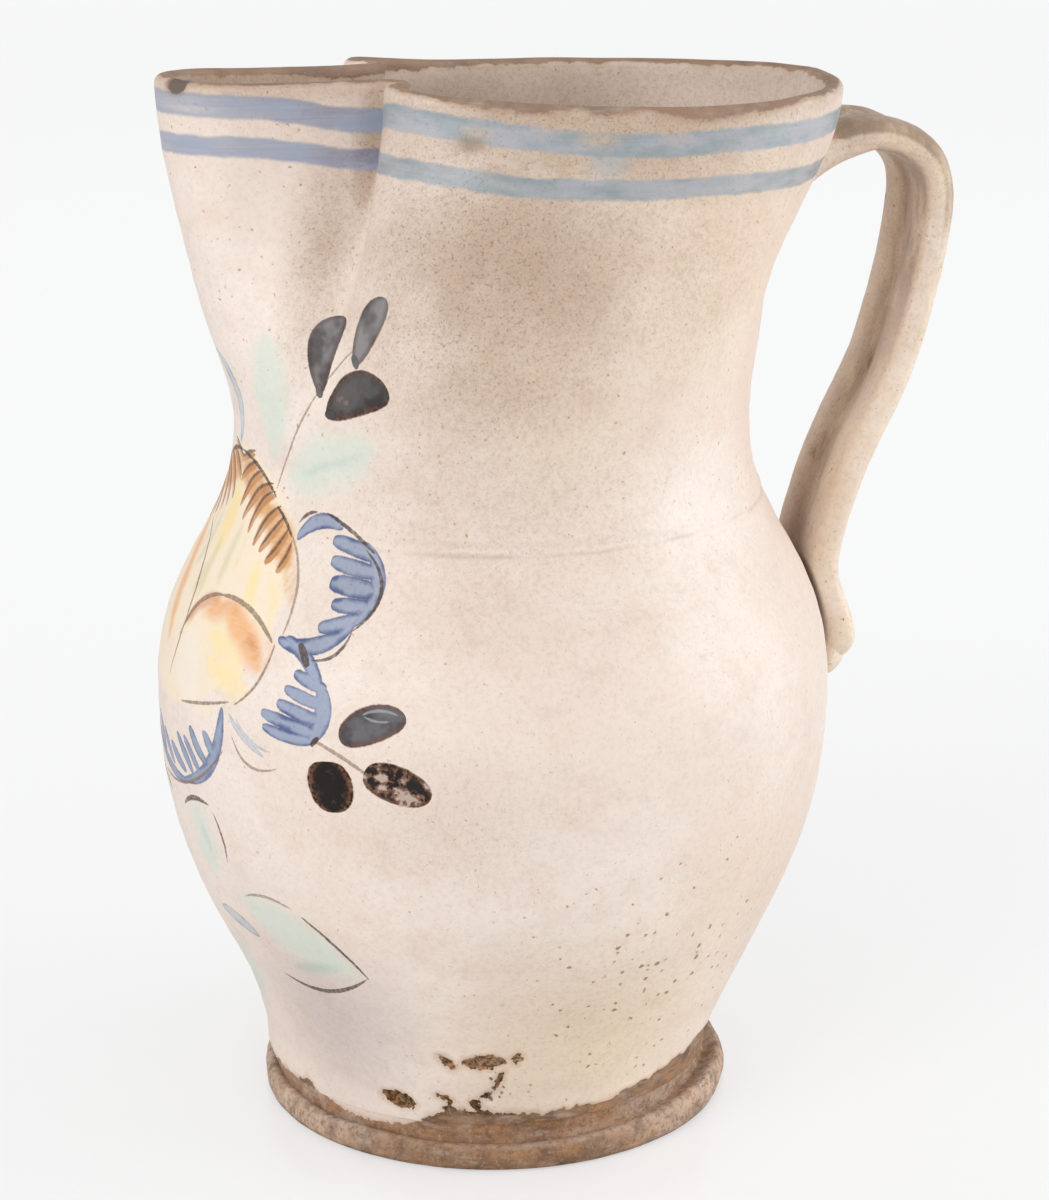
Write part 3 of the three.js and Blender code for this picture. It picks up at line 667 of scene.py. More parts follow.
def paint_flower(point, wrap, colour, span):
    """Lays the flower on the glaze: washes, painted shade in the shoulder ring's groove, blues, hatching,
    lines, leaves and last the scratches and specks over them."""
    once, height = add("SeparateXYZ", {0: wrap}).outputs[:2]
    both = calc("ADD", calc("ABSOLUTE", calc("SUBTRACT", once, MIRROR_LINE)), MIRROR_LINE)
    tooth = grain(point, 1.1, 4.0, 0.6)
    wander = grain(point, 0.16, 3.0)
    hair = grain(stretched(wrap, (0.25, 1.6, 1)), 1.0, 3.0)
    tight = scaled(tooth, 0.5, -0.25)
    thin = scaled(tooth, 0.34, -0.16)

    colour = wash_over(colour, 0.7, 1.0, scaled(hair, 0.5, times(wander, 0.5)))
    # Painted shade in the shoulder ring's groove
    mask = brushed(once, height, thin, SHOULDER_RING_SHADE, 1.1, span)
    broken = ramp(wander, 0.36, 0.62, 0.06, 0.42)
    colour = blend(times(mask, broken), colour, RING_SHADE_BROWN)
    for rows, where, dark, pale in (
        (PALE_BLUE, once, (0.40, 0.52, 0.72, 1), (0.70, 0.82, 0.95, 1)),
        (FAN_BLUE, once, (0.15, 0.235, 0.49, 1), (0.34, 0.46, 0.70, 1)),
        (PETAL_BLUE, both, (0.07, 0.135, 0.38, 1), (0.37, 0.50, 0.76, 1)),
    ):
        mask, depth = brushed(where, height, tight, rows, 0.35, span, deep=True)
        if mask:
            pooled = scaled(wander, 0.9, scaled(depth, 0.5, -0.42))
            blue = blend(ramp(pooled, 0.06, 0.38), dark, pale)
            colour = blend(times(mask, 0.97), colour, blue, "MULTIPLY")
    mask = brushed(both, height, tight, HATCH, 0.6, span)
    if mask:
        colour = blend(times(mask, ramp(wander, 0.3, 0.7, 0.6, 0.95)), colour, HATCH_RUST)
    hatch_edges = [
        (x0, z0 + HATCH_RISE, x1, z1 + HATCH_RISE, bend, HATCH_EDGE, taper)
        for x0, z0, x1, z1, bend, _, taper in HATCH
    ]
    for rows, where, ink, strength in (
        (hatch_edges, both, (0.14, 0.08, 0.06, 1), 0.9), (FAINT_LINES, both, (0.27, 0.17, 0.115, 1), 0.75),
        (CENTRE_LINES, once, (0.21, 0.125, 0.08, 1), 0.82), (OUTLINES, both, (0.085, 0.05, 0.036, 1), 0.92),
    ):
        mask = brushed(where, height, thin, rows, 0.25, span)
        if mask:
            dry = ramp(tooth, 0.34, 0.56, strength * 0.75, strength)
            colour = blend(times(mask, dry), colour, ink)
    fleck = grain(point, 0.34, 3.0, 0.6)
    for row, skew, ink, fringed, flaked in LEAVES:
        mask, depth = brushed(both, height, tight, [row], 0.4, span, skew, deep=True)
        if mask:
            ink = blend(ramp(depth, 0.55, 0.1, 0.0, 0.45), ink, LEAF_POOL)
            shaded = blend(ramp(wander, 0.38, 0.66, 0.0, 0.6), ink, LEAF_BLACK)
            frayed = times(ramp(depth, 0.45, 0.05), ramp(tooth, 0.62, 0.42, 0.0, fringed))
            shaded = blend(frayed, shaded, FRAY_BROWN)
            drop = 0.13 * flaked
            bared = ramp(fleck, 0.68 - drop, 0.74 - drop)
            browned = ramp(fleck, 0.60 - drop, 0.67 - drop, 0.0, flaked)
            shaded = blend(browned, shaded, FLAKE_BROWN)
            kept = scaled(bared, -0.5 * flaked, 1.0)
            colour = blend(times(mask, kept), colour, shaded)
    for rows, where, ink, strength in (
        (SCRATCHES, both, (0.42, 0.41, 0.43, 1), 0.55),
        (CHIP_SPECKS, once, (0.12, 0.08, 0.055, 1), 0.85),
    ):
        mask = brushed(where, height, tight, rows, 0.25, span)
        if mask:
            colour = blend(times(mask, strength), colour, ink)
    return colour


def magnitude(vector):
    return add("VectorMath", {0: vector}, operation="LENGTH").outputs["Value"]


def soft_patches(wrap, rows):
    """Broad clouds on the wrap, as round as their reach in either direction."""
    total = None
    for x, z, wide, tall, strength in rows:
        gone = moved("SUBTRACT", wrap, (x, z, 0))
        far = magnitude(stretched(gone, (1 / wide, 1 / tall, 0)))
        patch = ramp(far, 1.0, 0.0, 0.0, strength)
        total = calc("MAXIMUM", total, patch) if total else patch
    return total


# Smoke patches on the belly; the broad one under the shoulder ring at (96, 148) is painted shade.
BELLY_SMOKE_AND_SHADE = [
    (118, 40, 44, 30, 0.16), (100, 58, 30, 14, 0.12), (96, 148, 75, 40, 0.24), (82, 92, 36, 24, 0.2),
    (-120, 40, 70, 40, 0.3), (178, 60, 40, 60, 0.12),
]
BELLY_PITS = [(132, 46, 66, 52, 1.9), (95, 22, 40, 22, 1.3), (60, 95, 90, 60, 0.4), (-140, 40, 80, 40, 0.9)]
BELLY_SHADE = [(48, 34, 36, 34, 0.9), (96, 14, 50, 16, 0.35)]
SHADE_GREY = (0.70, 0.70, 0.73, 1)
AGED_YELLOW = (1.0, 0.955, 0.82, 1)
BREAK_DARK = (0.34, 0.32, 0.28, 1)
BREAK_PALE = (1.25, 1.18, 1.0, 1)
BREAK_LOW = (0.62, 0.58, 0.5, 1)
BELLY_YELLOW = [(124, 30, 62, 46, 1), (150, 60, 40, 40, 0.5), (112, 172, 50, 40, 0.6)]
belly_glaze, shader, point, wrap, cover = started_material("painted_belly_glaze")
patches = {"Smoke And Shade": soft_patches(wrap, BELLY_SMOKE_AND_SHADE), "Specks": 0.6, "Pits": soft_patches(wrap, BELLY_PITS)}
glaze = add("Group", {"Point": point, **patches}, node_tree=tin_glaze)
shaded = blend(soft_patches(wrap, BELLY_SHADE), glaze.outputs["Color"], SHADE_GREY, "MULTIPLY")
shaded = blend(soft_patches(wrap, BELLY_YELLOW), shaded, AGED_YELLOW, "MULTIPLY")
painted = paint_flower(point, wrap, shaded, (FOOT_TOP, SEAM_HEIGHT))
sideways, up = add("SeparateXYZ", {0: wrap}).outputs[:2]
old_break = blend(ramp(grain(point, 0.9, 4.0, 0.7), 0.40, 0.60), BREAK_DARK, BREAK_PALE)
old_break = blend(ramp(up, 23, 18), old_break, BREAK_LOW, "MULTIPLY")
chipped = calc("ABSOLUTE", calc("SUBTRACT", sideways, CHIPS_MIDDLE))
chipped = times(ramp(up, 12.0, 15.0), ramp(chipped, 28, 24))


def chipped_clay(bare):
    return blend(chipped, bare, old_break, "MULTIPLY")


finish_surface(shader, point, wrap, cover, painted, glaze, 2.6, clay_tint=chipped_clay)

belly_turn = np.linspace(-math.pi, math.pi, BELLY_COLUMNS, endpoint=False)
belly_around = belly_turn * WRAP_RADIUS
outside = np.concatenate([
    np.linspace(FOOT_TOP, LOW_END, BELLY_LOW_ROWS, endpoint=False),
    np.linspace(LOW_END, SEAM_HEIGHT, BELLY_ROWS),
])
lowest = FLOOR_HEIGHT + FLOOR_ROUNDING
inside = np.linspace(SEAM_HEIGHT, lowest, BELLY_INSIDE_ROWS)
corner = wall_radius(lowest) - WALL
floor_turn = np.linspace(0, math.pi / 2, 10)[1:]
floor_line = np.stack([
    corner - FLOOR_ROUNDING * (1 - np.cos(floor_turn)),
    lowest - FLOOR_ROUNDING * np.sin(floor_turn),
], -1)
under = [(10, FOOT_TOP), (48, FOOT_TOP)]
profile = np.concatenate([
    under,
    np.stack([wall_radius(outside), outside], -1),
    np.stack([wall_radius(inside) - WALL, inside], -1),
    floor_line,
    [(22, FLOOR_HEIGHT), (8, FLOOR_HEIGHT)],
])
radius, height = profile[:, :1], profile[:, 1:]
is_outside = np.zeros((len(profile), 1))
is_outside[len(under):len(under) + len(outside)] = 1
lean = WALL_LEAN * (1 - smooth((height - FOOT_TOP) / 25))
flare = 0.7 * (1 - smooth((height - FOOT_TOP) / 7))
ring_grid = np.stack([
    -(radius + flare) * np.cos(belly_turn) - lean,
    -(radius + flare) * np.sin(belly_turn),
    height + 0 * belly_turn,
], -1)
height_field = height + 0 * belly_turn
around_field = belly_around + 0 * height
belly_cover = (height_field - read_off(GLAZE_EDGE, belly_around)) * 0.8
belly_cover += 0.9 * rough(ring_grid, 3.2, 10) * (height_field < LOW_END)
crumbled = 0.35 * rough(ring_grid, 1.8, 11)
for chip in CHIPS:
    belly_cover = np.minimum(belly_cover, spot_distance(around_field, height_field, chip) + crumbled)
belly_cover = np.where(is_outside > 0, np.clip(belly_cover, -3, 3), 3.0)
push = hand_marks(ring_grid, around_field, height_field) * smooth((height_field - FOOT_TOP) / 9)
push -= GLAZE_DEPTH * (1 - smooth((belly_cover + 0.35) / 0.7))
push -= 0.2 * smooth(-belly_cover / 1.2) * (height_field > 14)
push = np.where(is_outside > 0, push, 0.25 * rough(ring_grid, 25, 12, 2) * (radius < 60))
push[0:2] = 0
belly_grid = ring_grid.copy()
belly_grid[..., 0] -= push * np.cos(belly_turn)
belly_grid[..., 1] -= push * np.sin(belly_turn)
belly_height = np.where(is_outside > 0, height_field, INSIDE_MARK)
belly_wash = washed(ring_grid, around_field, belly_height)
belly_piece = skin(
    "belly_wall", belly_grid, belly_around, belly_height, belly_cover, belly_glaze, wash=belly_wash,
)
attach(belly_piece, "root")
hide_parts("belly")

# Neck.
# A thrown collar luted on to the belly along the shoulder ring. While soft its mouth was pinched
# in on both sides, which leaves a narrow spout in front and a wide lobe at the back. Two blue
# bands run round under the rim, where the glaze has worn through to the clay.
NECK_COLUMNS = 500
NECK_ROWS = 104
LIP_ROWS = 12
NECK_INSIDE_ROWS = 44
RIM_HEIGHT = 241.6
RIM_SLOPE = 0.022
RIM_SAG = 2.0
RIM_WALL = 4.4
SPOUT_PINCH = 160.0
BACK_PINCH = 191.0
PINCH_SPREAD = 1.18
LOBE_HALF_WIDTH = 49.5
MOUTH_HALF = [
    [(-75, 0), (-75, 8.525), (-68.25, 15.5), (-60, 15.5)],
    [(-60, 15.5), (-42.75, 15.5), (-25.5, 11.6), (-25.5, 13.2)],
    [(-25.5, 13.2), (-25.5, 17.4), (-28.8, 15), (-28.8, 21)],
    [(-28.8, 21), (-28.8, 35), (-6.8, 49.5), (31.2, 49.5)],
    [(31.2, 49.5), (58.04, 49.5), (80, 27.2), (80, 0)],
]
UPPER_BAND = [
    (-220, 234), (-60, 235.5), (0, 236.6), (14, 236.7), (28, 235.4), (45, 233.1), (61, 235.8), (76, 235.4),
    (95, 234.3), (118, 233.3), (144, 234.1), (175, 233.9), (220, 234),
]
LOWER_BAND = [
    (-220, 224), (-60, 225.8), (0, 227.8), (14, 228.2), (28, 226.9), (45, 225), (61, 225.8), (76, 225.4),
    (95, 224.2), (118, 224.1), (144, 224.5), (178, 223.6), (220, 224),
]
# Smoke patches on the neck; the narrow ones at 38 and 44, beside the spout's pinch fold, are smoke and
# painted shade.
NECK_SMOKE_AND_SHADE = [
    (92, 208, 60, 48, 1.05), (76, 200, 40, 40, 0.65), (38, 206, 15, 38, 0.72), (90, 190, 56, 36, 0.72),
    (96, 160, 75, 44, 0.3), (110, 236, 110, 30, 0.9), (44, 226, 8, 30, 1), (138, 206, 44, 40, 0.4),
    (-100, 210, 80, 46, 0.7), (24, 242, 50, 13, 0.5),
]
NECK_YELLOW = [(150, 205, 60, 50, 0.9), (112, 178, 44, 40, 0.6)]
BAND_WEAR = [
    (82, 234.6, 6, 2.6, 0.75), (109, 234.8, 8, 4.5, 0.8), (98, 236.6, 7, 2.4, 0.6),
    (127, 235.2, 6, 3, 0.45), (8, 236, 9, 3, 0.4),
]
BAND_SPAN = 440.0
BAND_BASE = 215.0
BAND_REACH = 25.0
BLUE_BLOTCH = [(112, 229.4, 8, 4.6, 0.6)]
BROWN_STAIN = [(80.5, 232.4, 5.5, 3.2, 0.85), (86, 227, 7, 3, 0.3)]
SPOUT_SCAR = [(5.8, 241.2, 3.4, 5, 1)]
NECK_WARM = (1.0, 0.96, 0.85, 1)
BLOTCH_BLUE = (0.34, 0.41, 0.44, 1)
SPOUT_BLUE = (0.30, 0.35, 0.455, 1)
SPOUT_INDIGO = (0.155, 0.178, 0.30, 1)
STAIN_BROWN = (0.28, 0.205, 0.13, 1)
LIP_GREY = (0.80, 0.72, 0.65, 1)
RIM_RUST = (0.30, 0.175, 0.11, 1)
SCAR_BROWN = (0.155, 0.118, 0.095, 1)
LIP_WEAR = [
    (-220, 0.6), (-120, 1.6), (-60, 0.8), (0, 0.6), (40, 0.8), (58, 0.6), (72, 0.8), (80, 2), (96, 2.6),
    (104, 1.2), (110, 2.6), (119, 1.2), (127, 3), (133, 3.4), (150, 2.8), (162, 1.6), (175, 0.8),
    (220, 0.6),
]

mouth_parts = [bezier(handles, 160) for handles in MOUTH_HALF]
mouth_line = np.concatenate([mouth_parts[0], *[part[1:] for part in mouth_parts[1:]]])
mouth_reach = np.concatenate([[0], np.cumsum(np.linalg.norm(np.diff(mouth_line, axis=0), axis=1))])
mouth_reach /= mouth_reach[-1]


def mouth_at(around):
    """Place on the rim, outward direction and angle on the round pot for each place round the wrap."""
    turn = np.asarray(around) / (math.pi * WRAP_RADIUS)
    share = np.abs(turn) ** (1 / PINCH_SPREAD)
    side = -np.sign(turn)

    def spot(places):
        places = np.abs(1 - np.abs(1 - np.abs(places)))
        return np.stack([np.interp(places, mouth_reach, axis) for axis in mouth_line.T], -1)

    here = spot(share) * np.stack([np.ones_like(side), side], -1)
    step = 0.002
    after, before = spot(np.minimum(share + step, 1)), spot(np.maximum(share - step, 0))
    run = after - before
    run /= np.linalg.norm(run, axis=-1, keepdims=True)
    outward = np.stack([-run[..., 1], run[..., 0] * side], -1)
    outward[share < step] = (-1, 0)
    outward[share > 1 - step] = (1, 0)
    return here, outward, np.asarray(around) / WRAP_RADIUS


def neck_point(around, heights, inset):
    """A point of the neck: round the wrap, at a height on the round pot, so far in from its face."""
    spot, outward, turn = mouth_at(around)
    radius = wall_radius(heights) - inset
    start = SPOUT_PINCH + (BACK_PINCH - SPOUT_PINCH) * (1 - np.cos(turn)) / 2
    pinch = smooth((heights - start) / (RIM_HEIGHT - start))
    x = -radius * np.cos(turn) * (1 - pinch) + (spot[..., 0] - inset * outward[..., 0]) * pinch
    y = -radius * np.sin(turn) * (1 - pinch) + (spot[..., 1] - inset * outward[..., 1]) * pinch
    rim = RIM_HEIGHT - RIM_SLOPE * spot[..., 0] - RIM_SAG * (spot[..., 1] / LOBE_HALF_WIDTH) ** 2
    z = SEAM_HEIGHT + (heights - SEAM_HEIGHT) * (rim - SEAM_HEIGHT) / (RIM_HEIGHT - SEAM_HEIGHT)
    return np.stack([x, y, z + 0 * x], -1)


neck_glaze, shader, point, wrap, cover = started_material("banded_neck_glaze")
smoke_and_shade = soft_patches(wrap, NECK_SMOKE_AND_SHADE)
specks = scaled(smoke_and_shade, 0.75, 0.55)
sideways, up = add("SeparateXYZ", {0: wrap}).outputs[:2]
# Painted shade inside the neck: the inner faces are darkened, most in the narrow spout.
spout_inside = ramp(calc("ABSOLUTE", sideways), 40, 62, 0.85, 0.45)
inside_shade = times(ramp(up, -100, -400), spout_inside)
smoke_and_shade = calc("MAXIMUM", smoke_and_shade, inside_shade)
glaze = add("Group", {"Point": point, "Smoke And Shade": smoke_and_shade, "Specks": specks, "Pits": 0.5}, node_tree=tin_glaze)
warm = blend(soft_patches(wrap, NECK_YELLOW), glaze.outputs["Color"], NECK_WARM, "MULTIPLY")
colour = paint_flower(point, wrap, warm, (SEAM_HEIGHT, RIM_HEIGHT))

# Blue bands: two brush runs whose height is drawn by a curve round the wrap
round_share = scaled(sideways, 1 / BAND_SPAN, 0.5)
hairs = grain(stretched(wrap, (0.06, 1.5, 1)), 1.0, 4.0, 0.6)
sweep = grain(stretched(wrap, (0.05, 0.14, 1)), 1.0, 4.0, 0.6)
edge_noise = scaled(grain(point, 0.22, 3.0, 0.5), 1.1, -0.55)
worn = soft_patches(wrap, BAND_WEAR)
colour = blend(soft_patches(wrap, BLUE_BLOTCH), colour, BLOTCH_BLUE)
for rows, half, teal, pale in (
    (UPPER_BAND, 2.55, (0.245, 0.315, 0.345, 1), (0.345, 0.39, 0.47, 1)),
    (LOWER_BAND, 2.15, (0.22, 0.285, 0.31, 1), (0.31, 0.36, 0.42, 1)),
):
    run = add("FloatCurve", {"Value": round_share})
    curve = run.mapping.curves[0]
    for index, (x, z) in enumerate(rows):
        place = (x / BAND_SPAN + 0.5, (z - BAND_BASE) / BAND_REACH)
        if index < 2:
            curve.points[index].location = place
        else:
            curve.points.new(*place)
    run.mapping.update()
    centre = scaled(run.outputs[0], BAND_REACH, BAND_BASE)
    gap = calc("ABSOLUTE", calc("SUBTRACT", up, centre))
    mask = ramp(calc("ADD", gap, edge_noise), half + 0.45, half - 0.45)
    front = ramp(calc("ABSOLUTE", sideways), 44, 58)
    cloudy = blend(ramp(sweep, 0.40, 0.62), teal, pale)
    indigo = times(ramp(sideways, 10, 46), ramp(sweep, 0.40, 0.60))
    blue = blend(front, blend(indigo, SPOUT_BLUE, SPOUT_INDIGO), cloudy)
    strong = ramp(scaled(hairs, 0.5, times(sweep, 0.7)), 0.40, 0.80, 0.95, 0.68)
    strong = times(strong, calc("SUBTRACT", 1.0, times(worn, ramp(hairs, 0.3, 0.6, 0.5, 1.0))))
    colour = blend(times(mask, strong), colour, blue)
lip_dirt = times(ramp(up, 236.5, 240.5), ramp(sweep, 0.34, 0.58, 0.1, 0.7))
colour = blend(soft_patches(wrap, BROWN_STAIN), colour, STAIN_BROWN)
colour = blend(lip_dirt, colour, LIP_GREY, "MULTIPLY")
rust = ramp(grain(point, 0.10, 4.0, 0.6), 0.46, 0.62, 0.0, 0.6)
scar = soft_patches(wrap, SPOUT_SCAR)


def rim_clay(bare):
    stained = blend(rust, bare, RIM_RUST)
    return blend(ramp(scar, 0.2, 0.5), stained, SCAR_BROWN)


finish_surface(shader, point, wrap, cover, colour, glaze, 1.6, 0.35, 0.4, clay_tint=rim_clay)

neck_share = np.linspace(-1, 1, NECK_COLUMNS, endpoint=False)
neck_around = np.sign(neck_share) * np.abs(neck_share) ** PINCH_SPREAD * math.pi * WRAP_RADIUS
lip_radius = RIM_WALL / 2
lip_base = RIM_HEIGHT - lip_radius
lip_turn = np.linspace(0, math.pi, LIP_ROWS + 2)[1:-1]
outside = np.linspace(SEAM_HEIGHT, lip_base, NECK_ROWS)
inside = np.linspace(lip_base, SEAM_HEIGHT, NECK_INSIDE_ROWS)
inner_wall = WALL + (RIM_WALL - WALL) * (inside - SEAM_HEIGHT) / (lip_base - SEAM_HEIGHT)
rows = np.concatenate([
    np.stack([outside, 0 * outside, lip_base - outside + lip_radius * math.pi / 2], -1),
    np.stack([
        lip_base + lip_radius * np.sin(lip_turn),
        lip_radius * (1 - np.cos(lip_turn)),
        lip_radius * (math.pi / 2 - lip_turn),
    ], -1),
    np.stack([inside, inner_wall, inside - lip_base - lip_radius * math.pi / 2], -1),
])
heights, insets, crest = rows[:, :1], rows[:, 1:2], rows[:, 2:]
neck_grid = neck_point(neck_around[None] + 0 * heights, heights + 0 * neck_around, insets + 0 * neck_around)
side = np.roll(neck_grid, -1, 1) - np.roll(neck_grid, 1, 1)
rise = np.gradient(neck_grid, axis=0)
normal = np.cross(side, rise)
normal /= np.linalg.norm(normal, axis=-1, keepdims=True) + 1e-9
around_field = neck_around + 0 * heights
height_field = heights + 0 * neck_around
lumps = rough(neck_grid, 9, 13, 2)
crumbs = rough(neck_grid, 3, 14, 3)
wear = 0.6 + read_off(LIP_WEAR, neck_around) + 0.7 * lumps + 0.5 * crumbs
inner_wear = 2.3 + 2.6 * np.exp(-(((neck_around + 66) / 26) ** 2)) + 0.8 * lumps + 0.4 * crumbs
neck_cover = np.where(crest > 0, crest - wear, -crest - inner_wear)
spout_chip = np.hypot((around_field - 5.6) * 1.6, (crest - 1.5) * 1.3) - 3.6
neck_cover = np.clip(np.minimum(neck_cover, spout_chip), -3, 3)
marks = hand_marks(neck_grid, around_field, height_field) * smooth((lip_base - height_field) / 12)
inner_marks = 0.3 * rough(neck_grid, 22, 15, 2) * (crest < -lip_radius)
inner_marks = inner_marks * smooth((height_field - SEAM_HEIGHT) / 6)
push = np.where(crest > lip_radius, marks, inner_marks)
push -= 0.6 * GLAZE_DEPTH * (1 - smooth((neck_cover + 0.6) / 1.2))
push -= 0.5 * smooth(-spout_chip / 2)
free = smooth((height_field - SEAM_HEIGHT) / 10)[..., None]
turn = neck_around / WRAP_RADIUS
straight_out = np.stack([-np.cos(turn), -np.sin(turn), 0 * turn], -1)
joined = normal * free + straight_out * (1 - free)
normal = np.where(crest[..., None] > 0, joined, normal)
neck_grid += normal * push[..., None]
neck_grid[..., 2] += 0.32 * rough(neck_grid, 26, 16, 2) * smooth(1 - np.abs(crest) / 14)
neck_grid[..., 2] += 1.5 * np.exp(-(((neck_around + 58) / 20) ** 2)) * smooth((height_field - 218) / 23)
neck_height = np.where(crest > -1.0, height_field, INSIDE_MARK)
neck_wash = washed(neck_grid, around_field, neck_height)
neck_piece = skin(
    "neck_collar", neck_grid, neck_around, neck_height, neck_cover, neck_glaze, ring=True, wash=neck_wash,
)
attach(neck_piece, "root")
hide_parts("neck")

# Strap handle.
# A strip of clay pulled by hand, with a thumb groove down it, arched out of the neck below the
# rim and pressed down on to the belly. Geometry Nodes sweep its section along its bent line.
STRAP_WIDTH = 29.0
STRAP_THICKNESS = 10.0
HANDLE_DROP = 17.5
BACK_REACH = 80.0
HANDLE_OUT = 23.3
CROWN_RISE = 3.8
SHOULDER_DROP = 15.0
LANDING_HEIGHT = 122.0
TAIL_HEIGHT = 100.0
# The belly's wall under the handle: height and radius of its widest place, and how it curves
WIDEST_HEIGHT = 104.0
WIDEST_RADIUS = 78.4
WIDEST_CURVE = 0.0107
STRAP_STEPS = 240
STRAP_SMOOTHING = 40
HANDLE_CREAM = (1.0, 0.965, 0.85, 1)
GRIME_AND_SHADE_BROWN = (0.20, 0.11, 0.06, 1)
CROWN_BROWN = (0.235, 0.16, 0.11, 1)
CRACK_BROWN = (0.16, 0.10, 0.065, 1)
CROWN_TURN = [(0.12, 0), (0.6, 0.08), (0.93, 0.5), (1, 1)]
BACK_AROUND = math.pi * WRAP_RADIUS - 0.001

root = neck_point(np.array([BACK_AROUND]), np.array([RIM_HEIGHT - HANDLE_DROP]), np.array([0.0]))[0]
crown_height = root[2] + CROWN_RISE
landing = wall_radius(LANDING_HEIGHT) + STRAP_THICKNESS / 2
shoulder = np.array([BACK_REACH + HANDLE_OUT, crown_height - SHOULDER_DROP])
foot_end = np.array([landing, LANDING_HEIGHT])
TAIL_STEPS = [(LANDING_HEIGHT, -2.3), ((LANDING_HEIGHT + TAIL_HEIGHT) / 2, -0.7), (TAIL_HEIGHT, -1.0)]
tail = [(wall_radius(z) + STRAP_THICKNESS / 2 + off, z) for z, off in TAIL_STEPS]
bends = np.array([
    (root[0] - RIM_WALL, root[2]),
    *[(BACK_REACH + HANDLE_OUT * out, crown_height - SHOULDER_DROP * down) for out, down in CROWN_TURN],
    tuple(shoulder + (foot_end - shoulder) * 0.42 + (2.1, 0)),
    tuple(shoulder + (foot_end - shoulder) * 0.68 - (2.5, 0)),
    (landing - 1.6, LANDING_HEIGHT + 8),
    *tail,
])


def through(points, steps):
    """A smooth line through the points, with knots spaced by the root of their distance."""
    ends = np.concatenate([[2 * points[0] - points[1]], points, [2 * points[-1] - points[-2]]])
    line = []
    for a, b, c, d in zip(ends, ends[1:], ends[2:], ends[3:]):
        k1 = math.sqrt(np.linalg.norm(b - a))
        k2 = k1 + math.sqrt(np.linalg.norm(c - b))
        k3 = k2 + math.sqrt(np.linalg.norm(d - c))
        t = np.linspace(k1, k2, steps, endpoint=False)[:, None]
        ab = a + (b - a) * t / k1
        bc = b + (c - b) * (t - k1) / (k2 - k1)
        cd = c + (d - c) * (t - k2) / (k3 - k2)
        abc = ab + (bc - ab) * t / k2
        bcd = bc + (cd - bc) * (t - k1) / (k3 - k1)
        line.append(abc + (bcd - abc) * (t - k1) / (k2 - k1))
    return np.concatenate([*line, points[-1:]])


strap_line = along(through(bends, 24), STRAP_STEPS)
for step in range(STRAP_SMOOTHING):
    strap_line[1:-1] = (strap_line[:-2] + 2 * strap_line[1:-1] + strap_line[2:]) / 4
handle_glaze, shader, point, wrap, cover = started_material("handle_glaze")
sideways, up = add("SeparateXYZ", {0: point}).outputs[1:]
crease = stored("crease")
outer_face = stored("outer_face")
edge = stored("edge")
streak = grain(stretched(point, (0.16, 0.16, 0.05)), 1.0, 5.0, 0.62)
cloud = ramp(grain(point, 0.05, 4.0, 0.6), 0.35, 0.65, 0.05, 0.42)
cloud = times(cloud, ramp(up, 105, 185, 0.1, 0.8), ramp(edge, 0.6, 0.95, 0.85, 0.7))
crown = ramp(outer_face, 0.0, 1.0, 0.35, 1.2)
crown = times(ramp(up, 190, 222), ramp(streak, 0.3, 0.6, 0.55, 1.0), crown)
# Smoke on the strap, with painted shade in the thumb groove of its inner face.
smoke_and_shade = calc("MAXIMUM", calc("MAXIMUM", cloud, crown), times(crease, ramp(streak, 0.3, 0.6, 0.6, 1.0)))
glaze = add("Group", {"Point": point, "Smoke And Shade": smoke_and_shade, "Specks": 0.9, "Pits": 0.6}, node_tree=tin_glaze)
# Painted shade with brown grime on the inner face, along its near roll and in the groove, where the strap
# faces the pot.
roll = times(
    ramp(edge, 0.10, 0.35), ramp(edge, 0.97, 0.80), ramp(sideways, 0.0, -3.0),
    calc("SUBTRACT", 1.0, outer_face), ramp(up, 150, 208, 0.1, 0.65),
)
grime_and_shade = calc("MAXIMUM", roll, times(crease, 0.35))
grime_and_shade = times(grime_and_shade, ramp(streak, 0.34, 0.58, 0.35, 0.95))
creamy = blend(ramp(streak, 0.36, 0.62, 1.0, 0.4), glaze.outputs["Color"], HANDLE_CREAM, "MULTIPLY")
grimed_and_shaded = blend(grime_and_shade, creamy, GRIME_AND_SHADE_BROWN)
crown_dirt = times(outer_face, ramp(up, 198, 226), ramp(streak, 0.34, 0.60, 0.1, 0.55))
grimed_and_shaded = blend(crown_dirt, grimed_and_shaded, CROWN_BROWN)
# Grime and painted contact shade along the joint where the strap's tail meets the belly's wall.
off_axis = magnitude(stretched(point, (1, 1, 0)))
climb = calc("SUBTRACT", up, WIDEST_HEIGHT)
off_wall = scaled(times(climb, climb), WIDEST_CURVE, calc("SUBTRACT", off_axis, WIDEST_RADIUS))
crack = times(ramp(off_wall, 2.0, 0.6), ramp(up, 138, 128), ramp(up, 100, 118, 0.2, 0.85))
grimed_and_shaded = blend(crack, grimed_and_shaded, CRACK_BROWN)
rubbed = scaled(streak, -14.0, scaled(crease, -1.0, 10.4))
finish_surface(shader, point, point, rubbed, grimed_and_shaded, glaze, 1.2, 0.3, 0.3)

path = bpy.data.curves.new("strap_path", "CURVE")
path.dimensions = "3D"
spline = path.splines.new("POLY")
spline.points.add(len(strap_line) - 1)
for knot, (x, z) in zip(spline.points, strap_line * MM):
    knot.co = (x, 0, z, 1)
strap_maker = placed("strap_maker", path)

